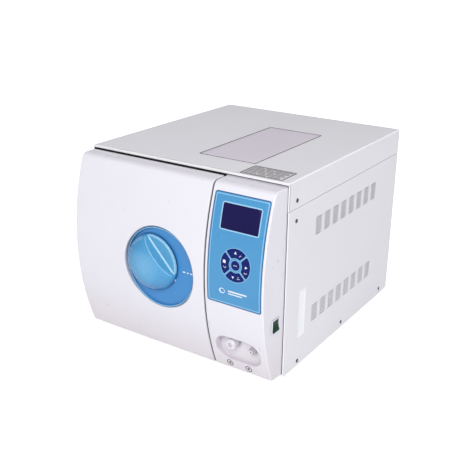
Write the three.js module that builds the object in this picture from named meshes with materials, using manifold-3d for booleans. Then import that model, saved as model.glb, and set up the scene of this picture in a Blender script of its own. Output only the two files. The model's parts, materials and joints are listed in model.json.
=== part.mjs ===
// Benchtop steam autoclave with a front door, control fascia, top-filled water
// tank and horizontal pressure chamber. Millimetres, +Z up, front faces -Y.
// Parts are drawn with x = 0 at mid width, y = 0 at the front edge of the sheet
// metal cabinet and z = 0 at its bottom edge. The root group shifts them so
// that the origin is the centre of the footprint, on the bench.
import * as THREE from 'three';
import { mergeVertices } from 'three/addons/utils/BufferGeometryUtils.js';
import Module from 'manifold-3d';

const wasm = await Module();
wasm.setup();
const { degToRad, radToDeg } = THREE.MathUtils;

// ---------------------------------------------------------------- dimensions
// Two-number values named _X, _Y or _Z are [from, to] ranges along that axis.
const HALF_WIDTH = 450 / 2;
const DEPTH = 485;
const HEIGHT = 380; // without feet
const FOOT_HEIGHT = 12;
const SHEET = 1.7; // cabinet sheet thickness
const INNER_X = HALF_WIDTH - SHEET;
const SEAM_Z = 327; // seam between top cover flange and side panels
const SEAM_GAP = 0.4; // either side of the seam
const REAR_THROUGH = [DEPTH - 5, DEPTH + 5]; // cutter range for the rear panel

// Front surface: an arc in the Y-Z plane, most forward at (y, z)
const FRONT = { radius: 490, y: -69.5, z: 195, top: 372.5, bottom: 5.5 };
const FRONT_THROUGH = [-100, -20]; // cutter range through the front surface
const WALL = 2.5; // moulded wall
const DOOR_X = [-222, 93];
const DOOR_BACK = -4;
const FASCIA_X = [95, 222];
const FASCIA_BACK = 3.2;

const HINGE = [-212, -14]; // hinge axis: x, y
const PIN_RADIUS = 4;
const HINGE_BORE_Z = [80, 300];
const EARS_Z = [[104, 116], [272, 284]];
const BEAM_HINGE_Z = [119, 269];
const BOLT_Y = [-20, -12];
const BOLT_Z = [186, 202];

const AXIS = [-29.5, 195]; // knob, shaft and chamber axis: x, z
const [AXIS_X, AXIS_Z] = AXIS;
const KNOB_Y = [-90, -58];
const SCOOP = { offset: 29.5, angle: 43, floor: -65.2 }; // flat recess in the knob, degrees above +X
const DISH = { centre: [-12, 192], radius: 79.5, floor: -57.3, rim: -62.2 }; // door recess

const BORE_RADIUS = 106; // chamber
const CHAMBER_WALL = 3;
const CHAMBER_Y = [6.3, 392];
const PLATE_RADIUS = 119; // pressure plate; must stay inside the door's width

const OVERLAY_X = [102, 214];
const OVERLAY_Z = [157, 357];
const LCD_X = [123, 199];
const LCD_Z = [298, 339.6];
const PAD = { centre: [160.6, 236.5], button: 8.6, inner: 14, outer: 30, gap: 3.5 }; // keys
const KEY_PROUD = 0.5;
const POCKET_X = [107, 205]; // drain pocket in the fascia
const POCKET_Z = [30, 84];
const POCKET_FLOOR = -30;
const POCKET_WALL = 2.2;
const VALVE = [140, 66]; // drain fittings: x, z
const COUPLING = [183, 62];
const ROCKER_Y = [-37, -12];
const ROCKER_Z = [108, 133];

const LID_X = [-14, 112];
const LID_Y = [69, 333];
const LABEL_X = [118, 207];
const LABEL_Y = [5, 60];
const LEVEL_Y = [52, 77];
const LEVEL_Z = [50, 158];
const VENT = { y: 104.6, pitch: 35.1, columns: 8, length: 24, height: 2, rows: 7, rowPitch: 5.3 };
const VENT_Z = { upper: 254.7, lower: 74 }; // middle of each group's lowest row
const SCREWS = [[28.5, 342], [28.5, 304], [54, 10], [243, 12], [440, 13.5]]; // y, z
const SCREW_HEAD = 1.2;

const FAN = [-110, 280]; // x, z
const INLET_X = [146, 194]; // opening for the mains inlet
const INLET_Z = [46, 74];
const INLET_REAR = DEPTH + 3;
const GENERATOR = [182, 104]; // x, y
const TRAY_HALF_WIDTH = 74;
const TRAY_Z = { lower: 165, upper: 215 };

// ----------------------------------------------------------------- materials
// colour, roughness, metalness
const FINISH = {
  white: [0xf0eff6, 0.28, 0],
  valveWhite: [0xf0eff6, 0.3, 0],
  collarWhite: [0xf0eff6, 0.35, 0],
  sheet: [0xdcdae0, 0.5, 0.1],
  steel: [0xc3c5c9, 0.3, 0.9],
  polishedSteel: [0xc3c5c9, 0.25, 0.9],
  plateSteel: [0xc3c5c9, 0.45, 0.6],
  linerSteel: [0xc3c5c9, 0.4, 0.6],
  generatorSteel: [0xc3c5c9, 0.35, 0.8],
  condenserSteel: [0xc3c5c9, 0.4, 0.8],
  zinc: [0x9aa0a6, 0.35, 0.8],
  beamZinc: [0x9aa0a6, 0.4, 0.8],
  chassisZinc: [0x9aa0a6, 0.45, 0.8],
  pump: [0x23252a, 0.5, 0.3],
  rotor: [0x23252a, 0.5, 0],
  black: [0x17181a, 0.5, 0],
  bezelBlack: [0x17181a, 0.4, 0],
  overlay: [0x5ba0d8, 0.3, 0],
  knob: [0x64afde, 0.3, 0],
  dish: [0x488fcf, 0.35, 0],
  key: [0x0c2073, 0.35, 0],
  lcd: [0x1b1448, 0.08, 0],
  rocker: [0x1c5a38, 0.35, 0],
  board: [0x1d5c34, 0.6, 0],
  lid: [0xcbc5d0, 0.3, 0],
  label: [0xb9b9c2, 0.35, 0.5],
  window: [0xdfe6ea, 0.3, 0],
  tank: [0xdfe6ea, 0.5, 0],
  rubber: [0x2b2b2d, 0.9, 0],
  silicone: [0xd9d2c4, 0.7, 0],
  wool: [0xcfc7b0, 0.9, 0],
  brass: [0xb9954b, 0.3, 0.9],
};

// -------------------------------------------------------------------- ranges
const grow = ([from, to], margin) => [from - margin, to + margin];
const around = (centre, half) => [centre - half, centre + half];
const middle = ([from, to]) => (from + to) / 2;
const mirrored = (side, [from, to], centre = 0) => (
  side > 0 ? [centre + from, centre + to] : [centre - to, centre - from]);
const polar = ([x, z], radius, degrees) => [
  x + radius * Math.cos(degToRad(degrees)),
  z + radius * Math.sin(degToRad(degrees)),
];
const steps = (count, make) => Array.from({ length: count }, (_, i) => make(i));

// -------------------------------------------------------------------- solids
const union = (...parts) => parts.reduce((whole, part) => whole.add(part));
const cut = (body, ...cutters) => cutters.reduce((rest, cutter) => rest.subtract(cutter), body);

// Weld a closed geometry by position alone and turn its faces outward.
function solid(geometry) {
  geometry.deleteAttribute('normal');
  geometry.deleteAttribute('uv');
  const merged = mergeVertices(geometry, 1e-4);
  const vertProperties = new Float32Array(merged.attributes.position.array);
  const index = merged.index.array;
  const faces = [];
  for (let i = 0; i < index.length; i += 3) {
    const [a, b, c] = index.slice(i, i + 3);
    if (a !== b && b !== c && a !== c) faces.push([a, b, c]);
  }
  const build = list => new wasm.Manifold(new wasm.Mesh({
    numProp: 3,
    vertProperties,
    triVerts: new Uint32Array(list.flat()),
  }));
  const body = build(faces);
  return body.volume() < 0 ? build(faces.map(([a, b, c]) => [a, c, b])) : body;
}

function box([x0, x1], [y0, y1], [z0, z1]) {
  const geometry = new THREE.BoxGeometry(x1 - x0, y1 - y0, z1 - z0);
  return solid(geometry.translate((x0 + x1) / 2, (y0 + y1) / 2, (z0 + z1) / 2));
}

// Profile points are [radius, position along axis]; centre is in the other two axes.
function revolve(axis, profile, [c0, c1], segments) {
  const points = profile.map(([radius, along]) => new THREE.Vector2(radius, along));
  const geometry = new THREE.LatheGeometry(points, segments);
  if (axis === 'x') geometry.rotateZ(-Math.PI / 2).translate(0, c0, c1);
  if (axis === 'y') geometry.translate(c0, 0, c1);
  if (axis === 'z') geometry.rotateX(Math.PI / 2).translate(c0, c1, 0);
  return solid(geometry);
}

const cylinder = (axis, radius, [from, to], centre, segments) => revolve(
  axis, [[0, from], [radius, from], [radius, to], [0, to]], centre, segments);

function extrude(outline, depth) {
  const shape = new THREE.Shape(outline.map(([u, v]) => new THREE.Vector2(u, v)));
  return new THREE.ExtrudeGeometry(shape, { depth, bevelEnabled: false, curveSegments: 1 });
}

// Outline in (y, z)
function extrudeX(outline, [x0, x1]) {
  const geometry = extrude(outline, x1 - x0);
  const points = geometry.getAttribute('position');
  for (let i = 0; i < points.count; i++) {
    points.setXYZ(i, points.getZ(i) + x0, points.getX(i), points.getY(i));
  }
  return solid(geometry);
}

// Outline in (x, z)
const extrudeY = (outline, [y0, y1]) => solid(
  extrude(outline, y1 - y0).rotateX(Math.PI / 2).translate(0, y1, 0));

function roundedRect(xRange, zRange, radius, cornerSteps) {
  const [x0, x1] = grow(xRange, -radius);
  const [z0, z1] = grow(zRange, -radius);
  const corners = [[x1, z1], [x0, z1], [x0, z0], [x1, z0]];
  return corners.flatMap((corner, quarter) => steps(cornerSteps + 1,
    i => polar(corner, radius, 90 * quarter + 90 * i / cornerSteps)));
}

// ------------------------------------------------------------- front surface
const frontY = z => (
  FRONT.y + FRONT.radius - Math.sqrt(FRONT.radius ** 2 - (z - FRONT.z) ** 2));
const ARC_Z = steps(19, i => -10 + i * 400 / 18);

// Curved slab between two depths behind the front surface
function band([near, far], xRange) {
  const back = ARC_Z.map(z => [frontY(z) + far, z]);
  const front = ARC_Z.map(z => [frontY(z) + near, z]).reverse();
  return extrudeX([...back, ...front], xRange);
}

// Closed (y, z) outline of door and fascia, rounded at the front's top and bottom
function frontProfile(back, inset) {
  const top = FRONT.top - inset;
  const bottom = FRONT.bottom + inset;
  const topRound = 14 - inset;
  const bottomRound = Math.max(4 - inset, 1);
  const bottomY = frontY(bottom + bottomRound) + inset;
  const arc = ARC_Z
    .filter(z => z > bottom + bottomRound && z < top - topRound * 1.25)
    .map(z => [frontY(z) + inset, z]);
  const roundZ = top - topRound;
  const slope = Math.asin((roundZ - FRONT.z) / FRONT.radius);
  const roundY = frontY(roundZ) + inset + topRound * Math.cos(slope);
  const topArc = steps(5, i => {
    const angle = Math.PI - slope - (Math.PI / 2 - slope) * i / 4;
    return [roundY + topRound * Math.cos(angle), roundZ + topRound * Math.sin(angle)];
  });
  return [
    [back, bottom],
    [bottomY + bottomRound * 1.15, bottom],
    [bottomY + bottomRound * 0.35, bottom + bottomRound * 0.3],
    ...arc,
    ...topArc,
    [back, top],
  ];
}

const frontBlock = (xRange, back) => extrudeX(frontProfile(back, 0), xRange);
const frontShell = (xRange, back) => cut(
  frontBlock(xRange, back),
  extrudeX(frontProfile(back + 20, WALL + 0.8), grow(xRange, -WALL)));

// ------------------------------------------------------------------ assembly
const root = new THREE.Group();
root.name = 'benchtop_autoclave';
root.position.set(-SCREW_HEAD / 2, -(KNOB_Y[0] + INLET_REAR) / 2, FOOT_HEIGHT);

function piece(name, [color, roughness, metalness], build) {
  const data = build().getMesh();
  const geometry = new THREE.BufferGeometry();
  const positions = new Float32Array(data.vertProperties);
  geometry.setAttribute('position', new THREE.BufferAttribute(positions, 3));
  geometry.setIndex(new THREE.BufferAttribute(new Uint32Array(data.triVerts), 1));
  geometry.computeVertexNormals();
  const material = new THREE.MeshStandardMaterial({ color, roughness, metalness });
  const mesh = new THREE.Mesh(geometry, material);
  mesh.name = name;
  root.add(mesh);
}

// ------------------------------------------------------------------- cabinet
const screwHoles = xRange => SCREWS.map(centre => cylinder('x', 2, xRange, centre, 10));

piece('base_chassis', FINISH.chassisZinc, () => {
  const length = [6, DEPTH - 2];
  const tray = union(
    box([-222.8, 222.8], length, [0.5, 2]),
    box([-222.8, -221.3], length, [0.6, 22]),
    box([221.3, 222.8], length, [0.6, 22]),
    box([-222.7, 222.7], [6, 7.5], [0.6, 2.8]));
  return cut(tray, ...screwHoles([218, 224]));
});

piece('front_plate', FINISH.plateSteel, () => cut(
  box([-220.8, 220.8], [4, 5.5], [3.2, 376]),
  cylinder('y', PLATE_RADIUS + 3, [0, 10], AXIS, 44),
  box([125, 205], [0, 10], [190, 330])));

piece('rear_panel', FINISH.sheet, () => {
  const grille = steps(9, i => { // slots clipped to the fan's circle
    const offset = (i - 4) * 11.5;
    const half = Math.sqrt(55 ** 2 - offset ** 2);
    return box(around(FAN[0], half), REAR_THROUGH, around(FAN[1] + offset, 3));
  });
  return cut(
    box([-222.6, 222.6], [DEPTH - 1.5, DEPTH], [3.2, 378.1]),
    ...grille,
    box(INLET_X, REAR_THROUGH, INLET_Z),
    cylinder('y', 14, REAR_THROUGH, AXIS, 24));
});

piece('top_cover', FINISH.sheet, () => cut(
  box([-HALF_WIDTH, HALF_WIDTH], [0, DEPTH], [SEAM_Z + SEAM_GAP, HEIGHT]),
  box([-INNER_X, INNER_X], [1.5, DEPTH + 5], [SEAM_Z - 5, HEIGHT - 1.5]),
  box([-INNER_X, INNER_X], [-5, 1.6], [SEAM_Z - 5, HEIGHT - 4]), // leaves a front lip
  box(grow(LID_X, 1), grow(LID_Y, 1), [HEIGHT - 5, HEIGHT + 5]),
  box(grow(LABEL_X, 0.3), grow(LABEL_Y, 0.3), [HEIGHT - 0.6, HEIGHT + 1]),
  screwHoles([222, 228])[0]));

// side is +1 for right (+X), -1 for left
function sidePanel(side, ventGroups) {
  const top = SEAM_Z - SEAM_GAP;
  const slab = (xRange, yRange, zRange) => box(mirrored(side, xRange), yRange, zRange);
  const panel = union(
    slab([INNER_X, HALF_WIDTH], [0, DEPTH], [0, top]),
    slab([222.5, INNER_X + 0.1], [0, 1.5], [3.5, top]),
    slab([221.5, INNER_X + 0.1], [10, 478], [316, top]),
    slab([221.5, 223], [10, 478], [SEAM_Z - 1, 352]));
  const vents = ventGroups.flatMap(groupZ => steps(VENT.rows * VENT.columns, i => {
    const y = VENT.y + (i % VENT.columns) * VENT.pitch;
    const z = groupZ + Math.floor(i / VENT.columns) * VENT.rowPitch;
    return slab([220, 230], [y, y + VENT.length], around(z, VENT.height / 2));
  }));
  return cut(panel, ...vents);
}

piece('right_side_panel', FINISH.sheet, () => cut(
  sidePanel(1, [VENT_Z.upper, VENT_Z.lower]),
  box([215, 230], LEVEL_Y, LEVEL_Z),
  ...screwHoles([218, 230])));
piece('left_side_panel', FINISH.sheet, () => sidePanel(-1, [VENT_Z.upper]));

piece('water_level_window', FINISH.window, () => {
  const layer = (xRange, margin) => box(xRange, grow(LEVEL_Y, margin), grow(LEVEL_Z, margin));
  return union(layer([223.4, 224.6], -0.3), layer([221.2, 223], 4), layer([222.5, 223.9], -1));
});

piece('water_tank_lid', FINISH.lid, () => union(
  box(LID_X, LID_Y, [HEIGHT - 2.4, HEIGHT]),
  box(grow(LID_X, -30), [LID_Y[0] + 3, LID_Y[0] + 5], [HEIGHT - 8, HEIGHT - 2])));

piece('label_plate', FINISH.label, () => box(LABEL_X, LABEL_Y, [HEIGHT - 0.45, HEIGHT]));

SCREWS.forEach(([y, z], i) => piece(`side_screw_${i + 1}`, FINISH.steel, () => {
  const seat = HALF_WIDTH + 0.02;
  const end = HALF_WIDTH + SCREW_HEAD;
  const screw = revolve('x', [
    [0, 220.2], [1.7, 220.2], [1.7, seat], [4.2, seat],
    [3.6, HALF_WIDTH + 0.8], [2.2, end], [0, end],
  ], [y, z], 12);
  return cut(screw, box([HALF_WIDTH + 0.5, HALF_WIDTH + 3], around(y, 1.9), around(z, 0.4)));
}));

for (const [end, y] of [['front', 32], ['rear', 450]]) {
  for (const [side, x] of [['left', -185], ['right', 185]]) {
    piece(`foot_${end}_${side}`, FINISH.rubber, () => revolve('z', [
      [0, -FOOT_HEIGHT], [14, -FOOT_HEIGHT], [15, -FOOT_HEIGHT + 1.2], [17, 0.2], [0, 0.2],
    ], [x, y], 18));
  }
}

// ------------------------------------------------------------ control fascia
const pocketOutline = margin => roundedRect(
  grow(POCKET_X, margin), grow(POCKET_Z, margin),
  (POCKET_Z[1] - POCKET_Z[0]) / 2 + margin - 0.01, 6);

const overlayOutline = margin => roundedRect(
  grow(OVERLAY_X, margin), grow(OVERLAY_Z, margin), 5 + margin, 4);

// One of four ring-sector keys, with parallel gaps between neighbours
function sectorKey(quarter, margin) {
  const halfGap = PAD.gap / 2 - margin;
  const edge = (radius, count) => {
    const offset = radToDeg(Math.asin(halfGap / radius));
    const start = 45 + 90 * quarter + offset;
    return steps(count + 1,
      i => polar(PAD.centre, radius, start + (90 - 2 * offset) * i / count));
  };
  const outline = [...edge(PAD.outer + margin, 6), ...edge(PAD.inner - margin, 3).reverse()];
  return extrudeY(outline, FRONT_THROUGH);
}
const centreKey = margin => cylinder('y', PAD.button + margin, FRONT_THROUGH, PAD.centre, 20);
const keyHoles = () => [...steps(4, quarter => sectorKey(quarter, 0.35)), centreKey(0.35)];
const lcdBlock = margin => box(grow(LCD_X, margin), FRONT_THROUGH, grow(LCD_Z, margin));
// Slot in the facing side walls of door and fascia
const boltSlot = xRange => box(xRange, grow(BOLT_Y, 1), grow(BOLT_Z, 1));

piece('control_fascia', FINISH.white, () => {
  const cup = extrudeY(pocketOutline(2), [-60, POCKET_FLOOR + POCKET_WALL])
    .intersect(frontBlock(FASCIA_X, FASCIA_BACK));
  const overlayRecess = band([-5, 1.2], grow(OVERLAY_X, 0.4))
    .intersect(extrudeY(overlayOutline(0.4), FRONT_THROUGH));
  return cut(
    frontShell(FASCIA_X, FASCIA_BACK).add(cup),
    extrudeY(pocketOutline(0), [-100, POCKET_FLOOR]),
    overlayRecess,
    ...keyHoles(),
    lcdBlock(0.3),
    cylinder('y', 5.3, [-40, 0], VALVE, 20),
    cylinder('y', 5.3, [-40, 0], COUPLING, 20),
    boltSlot([FASCIA_X[0] - 5, FASCIA_X[0] + 8]),
    box([FASCIA_X[1] - 8, FASCIA_X[1] + 5], grow(ROCKER_Y, -1.5), grow(ROCKER_Z, -1.5)));
});

piece('membrane_overlay', FINISH.overlay, () => cut(
  band([0.1, 1.05], OVERLAY_X).intersect(extrudeY(overlayOutline(0), FRONT_THROUGH)),
  ...keyHoles(),
  lcdBlock(0.3)));

piece('lcd_window', FINISH.lcd, () => band([0.3, 3.4], LCD_X).intersect(lcdBlock(0)));

const keySlab = () => band([-KEY_PROUD, 4.6], [100, 220]);
['up', 'left', 'down', 'right'].forEach((name, quarter) => {
  piece(`button_${name}`, FINISH.key, () => sectorKey(quarter, 0).intersect(keySlab()));
});
piece('button_center', FINISH.key, () => centreKey(0).intersect(keySlab()));

piece('control_board', FINISH.board, () => {
  const posts = [[0, 22], [90, 22], [180, 22], [270, 22], [0, 0]].map(([angle, radius]) => {
    const [x, z] = polar(PAD.centre, radius, angle);
    return box(around(x, 3), [-57.5, -35.9], around(z, 3)); // behind each key
  });
  return union(
    box([106, 210], [-36, -34.4], [168, 346]), // board
    box([120, 202], [-39.5, -35.9], [294, 342]), // block behind the LCD
    box([112, 150], [-34.6, -24], [175, 187]), // three blocks on the rear face
    box([165, 200], [-34.6, -20], [196, 226]),
    box([120, 150], [-34.6, -26], [240, 262]),
    ...posts);
});

piece('switch_bezel', FINISH.bezelBlack, () => {
  const layer = (xRange, margin) => box(xRange, grow(ROCKER_Y, margin), grow(ROCKER_Z, margin));
  return cut(
    union(layer([222.15, 223.6], 0), layer([200, 222.5], -1.8)),
    layer([206, 230], -3.2));
});

piece('switch_rocker', FINISH.rocker, () => {
  const pivot = [217, middle(ROCKER_Z)]; // x, z
  // x, z from the pivot; the lower half stands out
  const profile = [[4.2, 7.9], [4.6, 0.4], [7.2, -8], [1.5, -8.2], [-6, -3], [-6, 3]];
  return extrudeY(
    profile.map(([x, z]) => [pivot[0] + x, pivot[1] + z]), grow(ROCKER_Y, -3.7));
});

// Round flange in front of the pocket floor and hexagonal nut behind it
const floorClamp = (radius, centre) => [
  cylinder('y', radius, [POCKET_FLOOR - 2.2, POCKET_FLOOR - 0.2], centre, 20),
  cylinder('y', radius, [POCKET_FLOOR + POCKET_WALL + 0.2, POCKET_FLOOR + 10], centre, 6),
];

piece('drain_valve_body', FINISH.zinc, () => union(
  cylinder('y', 4.8, [-37, -12], VALVE, 14),
  ...floorClamp(8.6, VALVE)));

piece('drain_valve_knob', FINISH.valveWhite, () => cut(
  revolve('y', [
    [0, -51.5], [8.2, -51.5], [10.3, -49.6], [10.8, -47], [10.8, -38],
    [9.6, -33.2], [5.3, -33.2], [5.3, -37.4], [0, -37.4],
  ], VALVE, 24),
  cylinder('y', 4.2, [-60, -49.4], VALVE, 16),
  ...[45, 135, 225, 315].map(
    angle => cylinder('y', 1.6, [-60, -45], polar(VALVE, 11.6, angle), 8))));

piece('drain_coupling_body', FINISH.steel, () => union(
  revolve('y', [[0, -46], [2.6, -47.6], [4.2, -47.6], [4.2, -12], [0, -12]], COUPLING, 16),
  ...floorClamp(8.4, COUPLING)));

piece('drain_coupling_collar', FINISH.collarWhite, () => revolve('y', [
  [4.6, -43.6], [7, -43.6], [7.6, -42.8], [7.6, -37.4], [6.8, -36.6], [4.6, -36.6], [4.6, -43.6],
], COUPLING, 20));

// ---------------------------------------------------------------------- door
// Clearance for the hinge ears as the door swings
const earSlots = () => EARS_Z.map(zRange => box([-230, -203], [-23, 5], grow(zRange, 1.2)));
const hingeCylinder = (radius, zRange, segments) => cylinder(
  'z', radius, zRange, HINGE, segments);

piece('door_cover', FINISH.white, () => {
  const tube = cylinder('y', DISH.radius + 2.5, [-100, DISH.floor + 4.5], DISH.centre, 56)
    .intersect(frontBlock(DOOR_X, DOOR_BACK));
  return cut(
    frontShell(DOOR_X, DOOR_BACK).add(tube),
    cylinder('y', DISH.radius, FRONT_THROUGH, DISH.centre, 56),
    boltSlot([DOOR_X[1] - 6, DOOR_X[1] + 5]),
    ...earSlots());
});

piece('door_liner', FINISH.linerSteel, () => cut(
  box([-219, 90], [-6.4, -4.9], [9.5, 368.5]),
  cylinder('y', PLATE_RADIUS + 2, [-20, 10], AXIS, 44),
  ...earSlots()));

piece('door_beam', FINISH.beamZinc, () => cut(
  union(
    box([-205, 88], [-32, -26], [172, 216]),
    box([-214, -196], [-32, -26], BEAM_HINGE_Z),
    box([-219, -205.2], [-31, -26], BEAM_HINGE_Z),
    hingeCylinder(7, BEAM_HINGE_Z, 18),
    box([-219, -210], [-28, -14], BEAM_HINGE_Z),
    revolve('y', [[0, -40], [26, -40], [24, -14], [0, -14]], AXIS, 28), // shaft boss
    box([50, 56], [-28, -9.5], [180, 208]), // bolt guides
    box([76, 82], [-28, -9.5], [180, 208])),
  hingeCylinder(PIN_RADIUS + 0.35, HINGE_BORE_Z, 16),
  cylinder('y', 10.35, [-60, 0], AXIS, 20),
  box([30, 95], grow(BOLT_Y, 0.4), grow(BOLT_Z, 0.4))));

piece('knob_escutcheon', FINISH.dish, () => {
  const edge = DISH.radius - 0.4;
  const back = DISH.floor + 2.5;
  return cut(
    union(
      revolve('y', [
        [0, DISH.floor], [74, DISH.floor], [77, DISH.floor - 1.4], [78, DISH.rim],
        [edge, DISH.rim], [edge, back], [0, back],
      ], DISH.centre, 56),
      cylinder('y', 16, [DISH.floor + 1, DISH.floor + 14], AXIS, 20)),
    cylinder('y', 10.4, FRONT_THROUGH, AXIS, 20));
});

piece('door_knob', FINISH.knob, () => {
  const dome = revolve('y', [
    [0, KNOB_Y[0]], [16, -89.5], [26, -88.1], [34, -85.2], [41, -80.7], [46.2, -74.8],
    [49.4, -68], [50.9, -61.6], [52.6, -61], [53.3, -60.2], [53.3, KNOB_Y[1]], [0, KNOB_Y[1]],
  ], AXIS, 48);
  const near = SCOOP.offset;
  const far = SCOOP.offset + 60;
  const scoop = [[near, -70], [far, -70], [far, 70], [near, 70]].map(
    ([out, across]) => polar(polar(AXIS, out, SCOOP.angle), across, SCOOP.angle + 90));
  return cut(
    dome,
    extrudeY(scoop, [-100, SCOOP.floor]),
    cylinder('y', 10.2, [-72, -50], AXIS, 20));
});

piece('knob_shaft', FINISH.steel, () => revolve('y', [
  [0, -71.7], [9.9, -71.7], [9.9, -12.2], [6, -12.2], [6, -9.2], [0, -9.2],
], AXIS, 20));

piece('lock_bolt', FINISH.steel, () => cut(
  box([36, 88], BOLT_Y, BOLT_Z),
  box([40, 46], [-30, -10], [189, 199])));

piece('lock_keeper', FINISH.zinc, () => cut(
  box([98.2, 110], [-28, 3.7], [176, 212]),
  box([90, 120], grow(BOLT_Y, 0.6), grow(BOLT_Z, 0.6))));

piece('pressure_plate', FINISH.polishedSteel, () => revolve('y', [
  [0, -8.7], [96, -8.7], [100, -7], [PLATE_RADIUS, -7], [PLATE_RADIUS, -1],
  [117.5, -1], [117.5, -4], [108, -4], [108, -1], [0, -1],
], AXIS, 44));

piece('door_gasket', FINISH.silicone, () => revolve('y', [
  [108.4, -3.7], [117.1, -3.7], [117.1, 1.5], [112.8, 3.5], [108.4, 1.5], [108.4, -3.7],
], AXIS, 44));

piece('hinge_bracket', FINISH.zinc, () => {
  const ears = EARS_Z.map(zRange => union(
    hingeCylinder(6.6, zRange, 18),
    box(around(HINGE[0], 5), [HINGE[1], 2.5], zRange)));
  return cut(
    union(box([-220, -196], [1.2, 3.7], [90, 298]), ...ears),
    hingeCylinder(PIN_RADIUS + 0.3, HINGE_BORE_Z, 16));
});

piece('hinge_pin', FINISH.steel, () => union(
  hingeCylinder(PIN_RADIUS, [102, 284.5], 16),
  hingeCylinder(6, [284.5, 287.5], 16)));

// ------------------------------------------------- pressure chamber and rack
piece('pressure_chamber', FINISH.polishedSteel, () => {
  const [mouth, end] = CHAMBER_Y;
  const outer = BORE_RADIUS + CHAMBER_WALL;
  return revolve('y', [
    [BORE_RADIUS, mouth], [138, mouth], [138, 14.3], [outer, 14.3], // flange
    [outer, 350], [101, 372], [70, 387], [25, end], [0, end], // outside
    [0, 388.8], [25, 388.8], [68.5, 383.8], [98, 369.5], [BORE_RADIUS, 350], // inside
    [BORE_RADIUS, mouth],
  ], AXIS, 40);
});

piece('insulation_jacket', FINISH.wool, () => revolve('y', [
  [110, 18], [126, 18], [126, 350], [110, 350], [110, 18],
], AXIS, 36));

piece('tray_rack', FINISH.polishedSteel, () => {
  const inside = TRAY_HALF_WIDTH + 2;
  const length = [30, 330];
  const sides = [-1, 1].flatMap(side => [
    box(mirrored(side, [inside, inside + 1.5], AXIS_X), length, [AXIS_Z - 71, AXIS_Z + 36]),
    ...Object.values(TRAY_Z).map(z => box(
      mirrored(side, [inside - 9, inside + 0.2], AXIS_X), length, [z - 1.2, z])),
  ]);
  const span = around(AXIS_X, inside + 0.5);
  return union(
    ...sides,
    box(span, [326, 329], [AXIS_Z - 66, AXIS_Z - 56]),
    box(span, [34, 40], [AXIS_Z - 70.4, AXIS_Z - 68.9]));
});

for (const [name, z] of Object.entries(TRAY_Z)) {
  piece(`tray_${name}`, FINISH.polishedSteel, () => {
    const slots = steps(8, i => {
      const x = AXIS_X - 52 + (i % 2) * 60;
      const y = 62 + Math.floor(i / 2) * 66;
      return box([x, x + 44], [y, y + 6], [z - 2, z + 5]);
    });
    return cut(
      box(around(AXIS_X, TRAY_HALF_WIDTH), [34, 322], [z + 0.3, z + 12]),
      box(around(AXIS_X, TRAY_HALF_WIDTH - 1.2), [35.2, 320.8], [z + 1.5, z + 20]),
      ...slots);
  });
}

// --------------------------------------------------- water, steam and vacuum
piece('clean_water_tank', FINISH.tank, () => {
  const outline = inset => { // L shape, deep on the right
    const [left, right] = grow([-12, 216], -inset);
    const top = 373 - inset;
    const step = [107 + inset, 334 + inset]; // x, z
    const bottom = 205 + inset;
    return [
      [left, top], [left, step[1]], step, [step[0], bottom], [right, bottom], [right, top],
    ];
  };
  return cut(
    extrudeY(outline(0), [78, 330]),
    extrudeY(outline(WALL), [80.5, 327.5]),
    box([-7, 105], [84, 324], [360, 380])); // filling opening
});

piece('waste_water_tank', FINISH.tank, () => {
  const outside = [[150, 216], [150, 330], [22.5, 198]];
  return cut(
    box(...outside),
    box(...outside.map(range => grow(range, -WALL))),
    cylinder('z', 12, [190, 205], [183, 180], 24));
});

piece('steam_generator', FINISH.generatorSteel, () => union(
  cylinder('z', 28, [26, 176], GENERATOR, 20),
  cylinder('z', 31, [22.6, 26.5], GENERATOR, 20),
  cylinder('z', 31, [175.5, 180], GENERATOR, 20),
  cylinder('z', 6, [179.5, 196], GENERATOR, 16)));

piece('vacuum_pump', FINISH.pump, () => union(
  box([140, 214], [338, 408], [22.6, 100]),
  cylinder('y', 30, [407, 450], [177, 62], 18),
  cylinder('z', 14, [99.5, 126], [160, 373], 18),
  cylinder('z', 14, [99.5, 126], [194, 373], 18)));

piece('condenser', FINISH.condenserSteel, () => union(
  box([-182, -52], [408, 412], [222, 338]),
  ...steps(10, i => box([-181 + i * 14, -178.5 + i * 14], [411.5, 448], [224, 336])), // fins
  ...[232, 328].map(z => cylinder('x', 5, [-182, -42], [404.5, z], 10))));

// Box lying radially from the fan axis; size is radial, axial, across; degrees
function fanSpoke({ size, pitch = 0, radius, angle, y }) {
  const geometry = new THREE.BoxGeometry(...size);
  geometry.rotateX(degToRad(pitch)).translate(radius, 0, 0);
  return solid(geometry.rotateY(degToRad(angle)).translate(FAN[0], y, FAN[1]));
}

piece('fan_frame', FINISH.black, () => union(
  cut(
    box(around(FAN[0], 60), [456, 481], around(FAN[1], 60)),
    cylinder('y', 57, [440, 490], FAN, 32)),
  cylinder('y', 21, [477, 480.8], FAN, 20),
  cylinder('y', 3, [462, 478], FAN, 10), // rotor spindle
  ...steps(4, i => fanSpoke({ size: [44, 3, 5], radius: 38, angle: 45 + 90 * i, y: 479 }))));

piece('fan_rotor', FINISH.rotor, () => {
  const blades = steps(7, i => fanSpoke({
    size: [36, 1.8, 20], pitch: 38, radius: 36, angle: i * 360 / 7, y: 467,
  }));
  return cut(
    union(cylinder('y', 20, [459.5, 475.5], FAN, 28), ...blades),
    cylinder('y', 3.5, [461.4, 480], FAN, 10));
});

piece('safety_valve', FINISH.brass, () => revolve('y', [
  [0, 392.6], [8, 392.6], [8, 404], [12, 404], [12, 430], [9.5, 434],
  [9.5, 462], [11, 462], [11, 487], [4, 487], [4, 470], [0, 470],
], AXIS, 20));

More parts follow.
